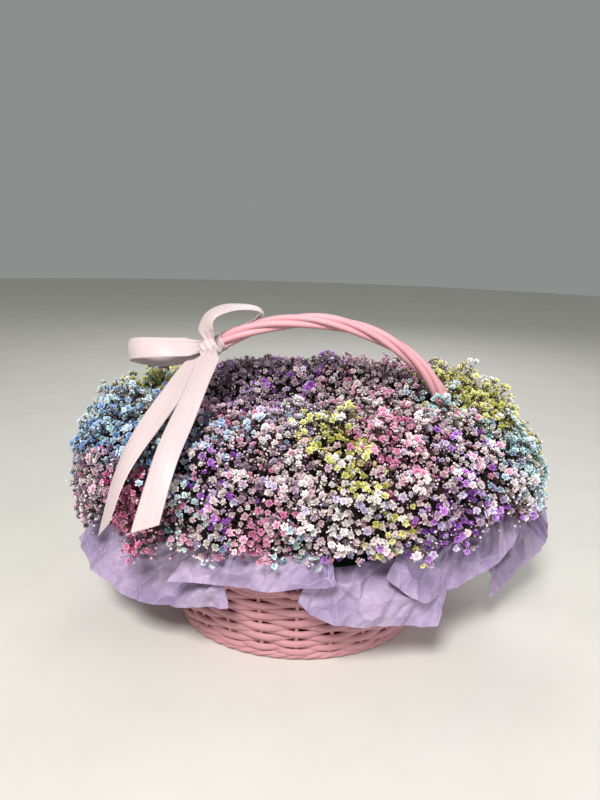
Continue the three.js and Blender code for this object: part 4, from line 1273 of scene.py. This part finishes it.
# %% The knot
KNOT_SHARE = 0.369
BAND_RADIUS, BAND_HALF, BAND_TURNS, BAND_THICKNESS = 0.0096, 0.0105, 1.04, 0.0006
WRAP_TALL, WRAP_DEEP, WRAP_HALF, WRAP_THICKNESS = 0.0118, 0.0072, 0.0112, 0.0008
at = int(round(KNOT_SHARE * (HANDLE_POINTS - 1)))
knot_middle, knot_along, knot_out = handle_line[at], handle_along[at], handle_out[at]


def knot_grid(middle, out, front, along):
    """Points by their distances outwards from the handle, to the front and along it."""
    return middle + out[..., None] * knot_out + front[..., None] * FRONT + along[..., None] * knot_along


w = np.linspace(-1, 1, STRIP_COLUMNS)[None]
turn = np.linspace(0, 2 * np.pi * BAND_TURNS, 90)[:, None]
radius = BAND_RADIUS + 0.0003 * turn / 6.3 + 0.0004 * np.sin(w * 7 + turn)
band = knot_grid(knot_middle, radius * np.cos(turn), radius * np.sin(turn), BAND_HALF * w + 0 * turn)
front_middle = knot_middle - 0.006 * knot_along + 0.002 * knot_out + 0.0155 * FRONT
turn = np.linspace(0, 2 * np.pi, 90)[:, None]
swell = 1 - 0.28 * w * w
pleats = 0.0009 * np.sin(w * 11 + 0.8 * np.sin(turn))
tall, deep = WRAP_TALL * swell + pleats, WRAP_DEEP * swell + pleats
wrap = knot_grid(front_middle, tall * np.sin(turn), deep * np.cos(turn), WRAP_HALF * w + 0 * turn)
knot_shape = join([thick_sheet(band, BAND_THICKNESS), thick_sheet(wrap, WRAP_THICKNESS)])
knot = add_piece("satin_knot", knot_shape, satin, "ribbon_knot", "strip")

# %% [markdown]
# ## Liner, foam and base
# Three of the frame's own pieces have the right shape and stay: the plastic cup that holds the water,
# the foam block with its stem holes and the basket's bottom. They get materials with the grain of the
# real ones.

# %% Foam, plastic and base
# the foam's greens are darker than fresh foam: wet, and partly painted shade where it shows under the
# blossoms
porous, given = new_group("fine pores", Body=srgb("2c4a30"), Pit=srgb("16261a"), Size=300.0)
place = object_place(porous)
pores = add_node(porous, "ShaderNodeTexVoronoi", {"Vector": place, "Scale": given["Size"]}).outputs[0]
mottle = noise(porous, place, 35.0, 4.0)
depth = maths(porous, "MULTIPLY", pores, mottle)
pit_tone = mix(porous, depth, given["Body"], given["Pit"])
finish_group(porous, pit_tone, remap(porous, mottle, 0.6, 0.98), depth)
foam = grouped_material("wet floral foam in painted shade", porous, 0.6, 0.001)
dark = {"Body": srgb("2a2220"), "Pit": srgb("1a1514"), "Size": 60.0, "Coat_Weight": 0.15}
plastic = grouped_material("dark liner plastic", porous, 0.1, 0.0004, **dark)
for node, material in (("floral_foam", foam), ("plastic_liner", plastic), ("basket_base", willow)):
    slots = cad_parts[node].data.materials
    slots.clear()
    slots.append(material)
    print(node, "is", material.name)

# %% [markdown]
# ## Floor and light
# A plain pale floor and soft light from high in front, with a weak fill from the right and one from
# behind, keep the colours as they are and leave soft shadows between the blossoms.

# %% Floor
pale_stone = {"Body": srgb("dedbd4"), "Pit": srgb("d2cfc8"), "Size": 8.0}
floor_finish = grouped_material("pale floor", porous, 0.05, 0.0005, **pale_stone)
FLOOR_RINGS = (0.0, 0.4, 0.9, 1.6, 2.6, 4.0, 6.0)
FLOOR_STEPS = 96
turn = 2 * np.pi * np.arange(FLOOR_STEPS) / FLOOR_STEPS
floor_points = np.concatenate([on_oval(r, r, turn, -0.0001 * (r > 0.9)) for r in FLOOR_RINGS])
a, b, c, d = grid_corners(len(FLOOR_RINGS), FLOOR_STEPS, True)
floor_faces = np.stack([a, d, c, b], -1).reshape(-1, 4)
floor_mesh = bpy.data.meshes.new("floor")
floor_mesh.from_pydata(floor_points.tolist(), [], floor_faces.tolist())
floor_mesh.materials.append(floor_finish)
floor = bpy.data.objects.new("floor", floor_mesh)
bpy.context.scene.collection.objects.link(floor)

# %% Lights
# name, place, the height it looks at, size, watts and colour
LAMPS = (
    ("key", (-0.35, -1.5, 1.8), 0.18, 0.5, 55, (1.0, 0.985, 0.97)),
    ("fill", (1.6, -0.9, 1.0), 0.18, 1.0, 10, (0.95, 0.97, 1.0)),
    ("back", (0.3, 1.8, 1.6), 0.2, 1.0, 13, (1.0, 1.0, 1.0)),
)
for name, place, aim, size, power, colour in LAMPS:
    lamp = bpy.data.lights.new(name, "AREA")
    lamp.size = size
    lamp.energy = power
    lamp.color = colour
    back = unit(np.array(place) - (0, 0, aim))
    right = unit(np.cross([0, 0, 1.0], back))
    place_by_axes(name, lamp, right, np.cross(back, right), back, place)
world = bpy.data.worlds.new("soft room")
world.use_nodes = True
feed(world.node_tree, world.node_tree.nodes["Background"], {"Color": (0.44, 0.46, 0.45, 1), "Strength": 0.6})
bpy.context.scene.world = world
bpy.context.scene.view_settings.view_transform = "Standard"
print("lamps:", len(LAMPS))

# %% [markdown]
# ## The end
# The number of faces in all the pieces is printed.

# %% Faces in all
print("faces in all:", sum(face_counts.values()))
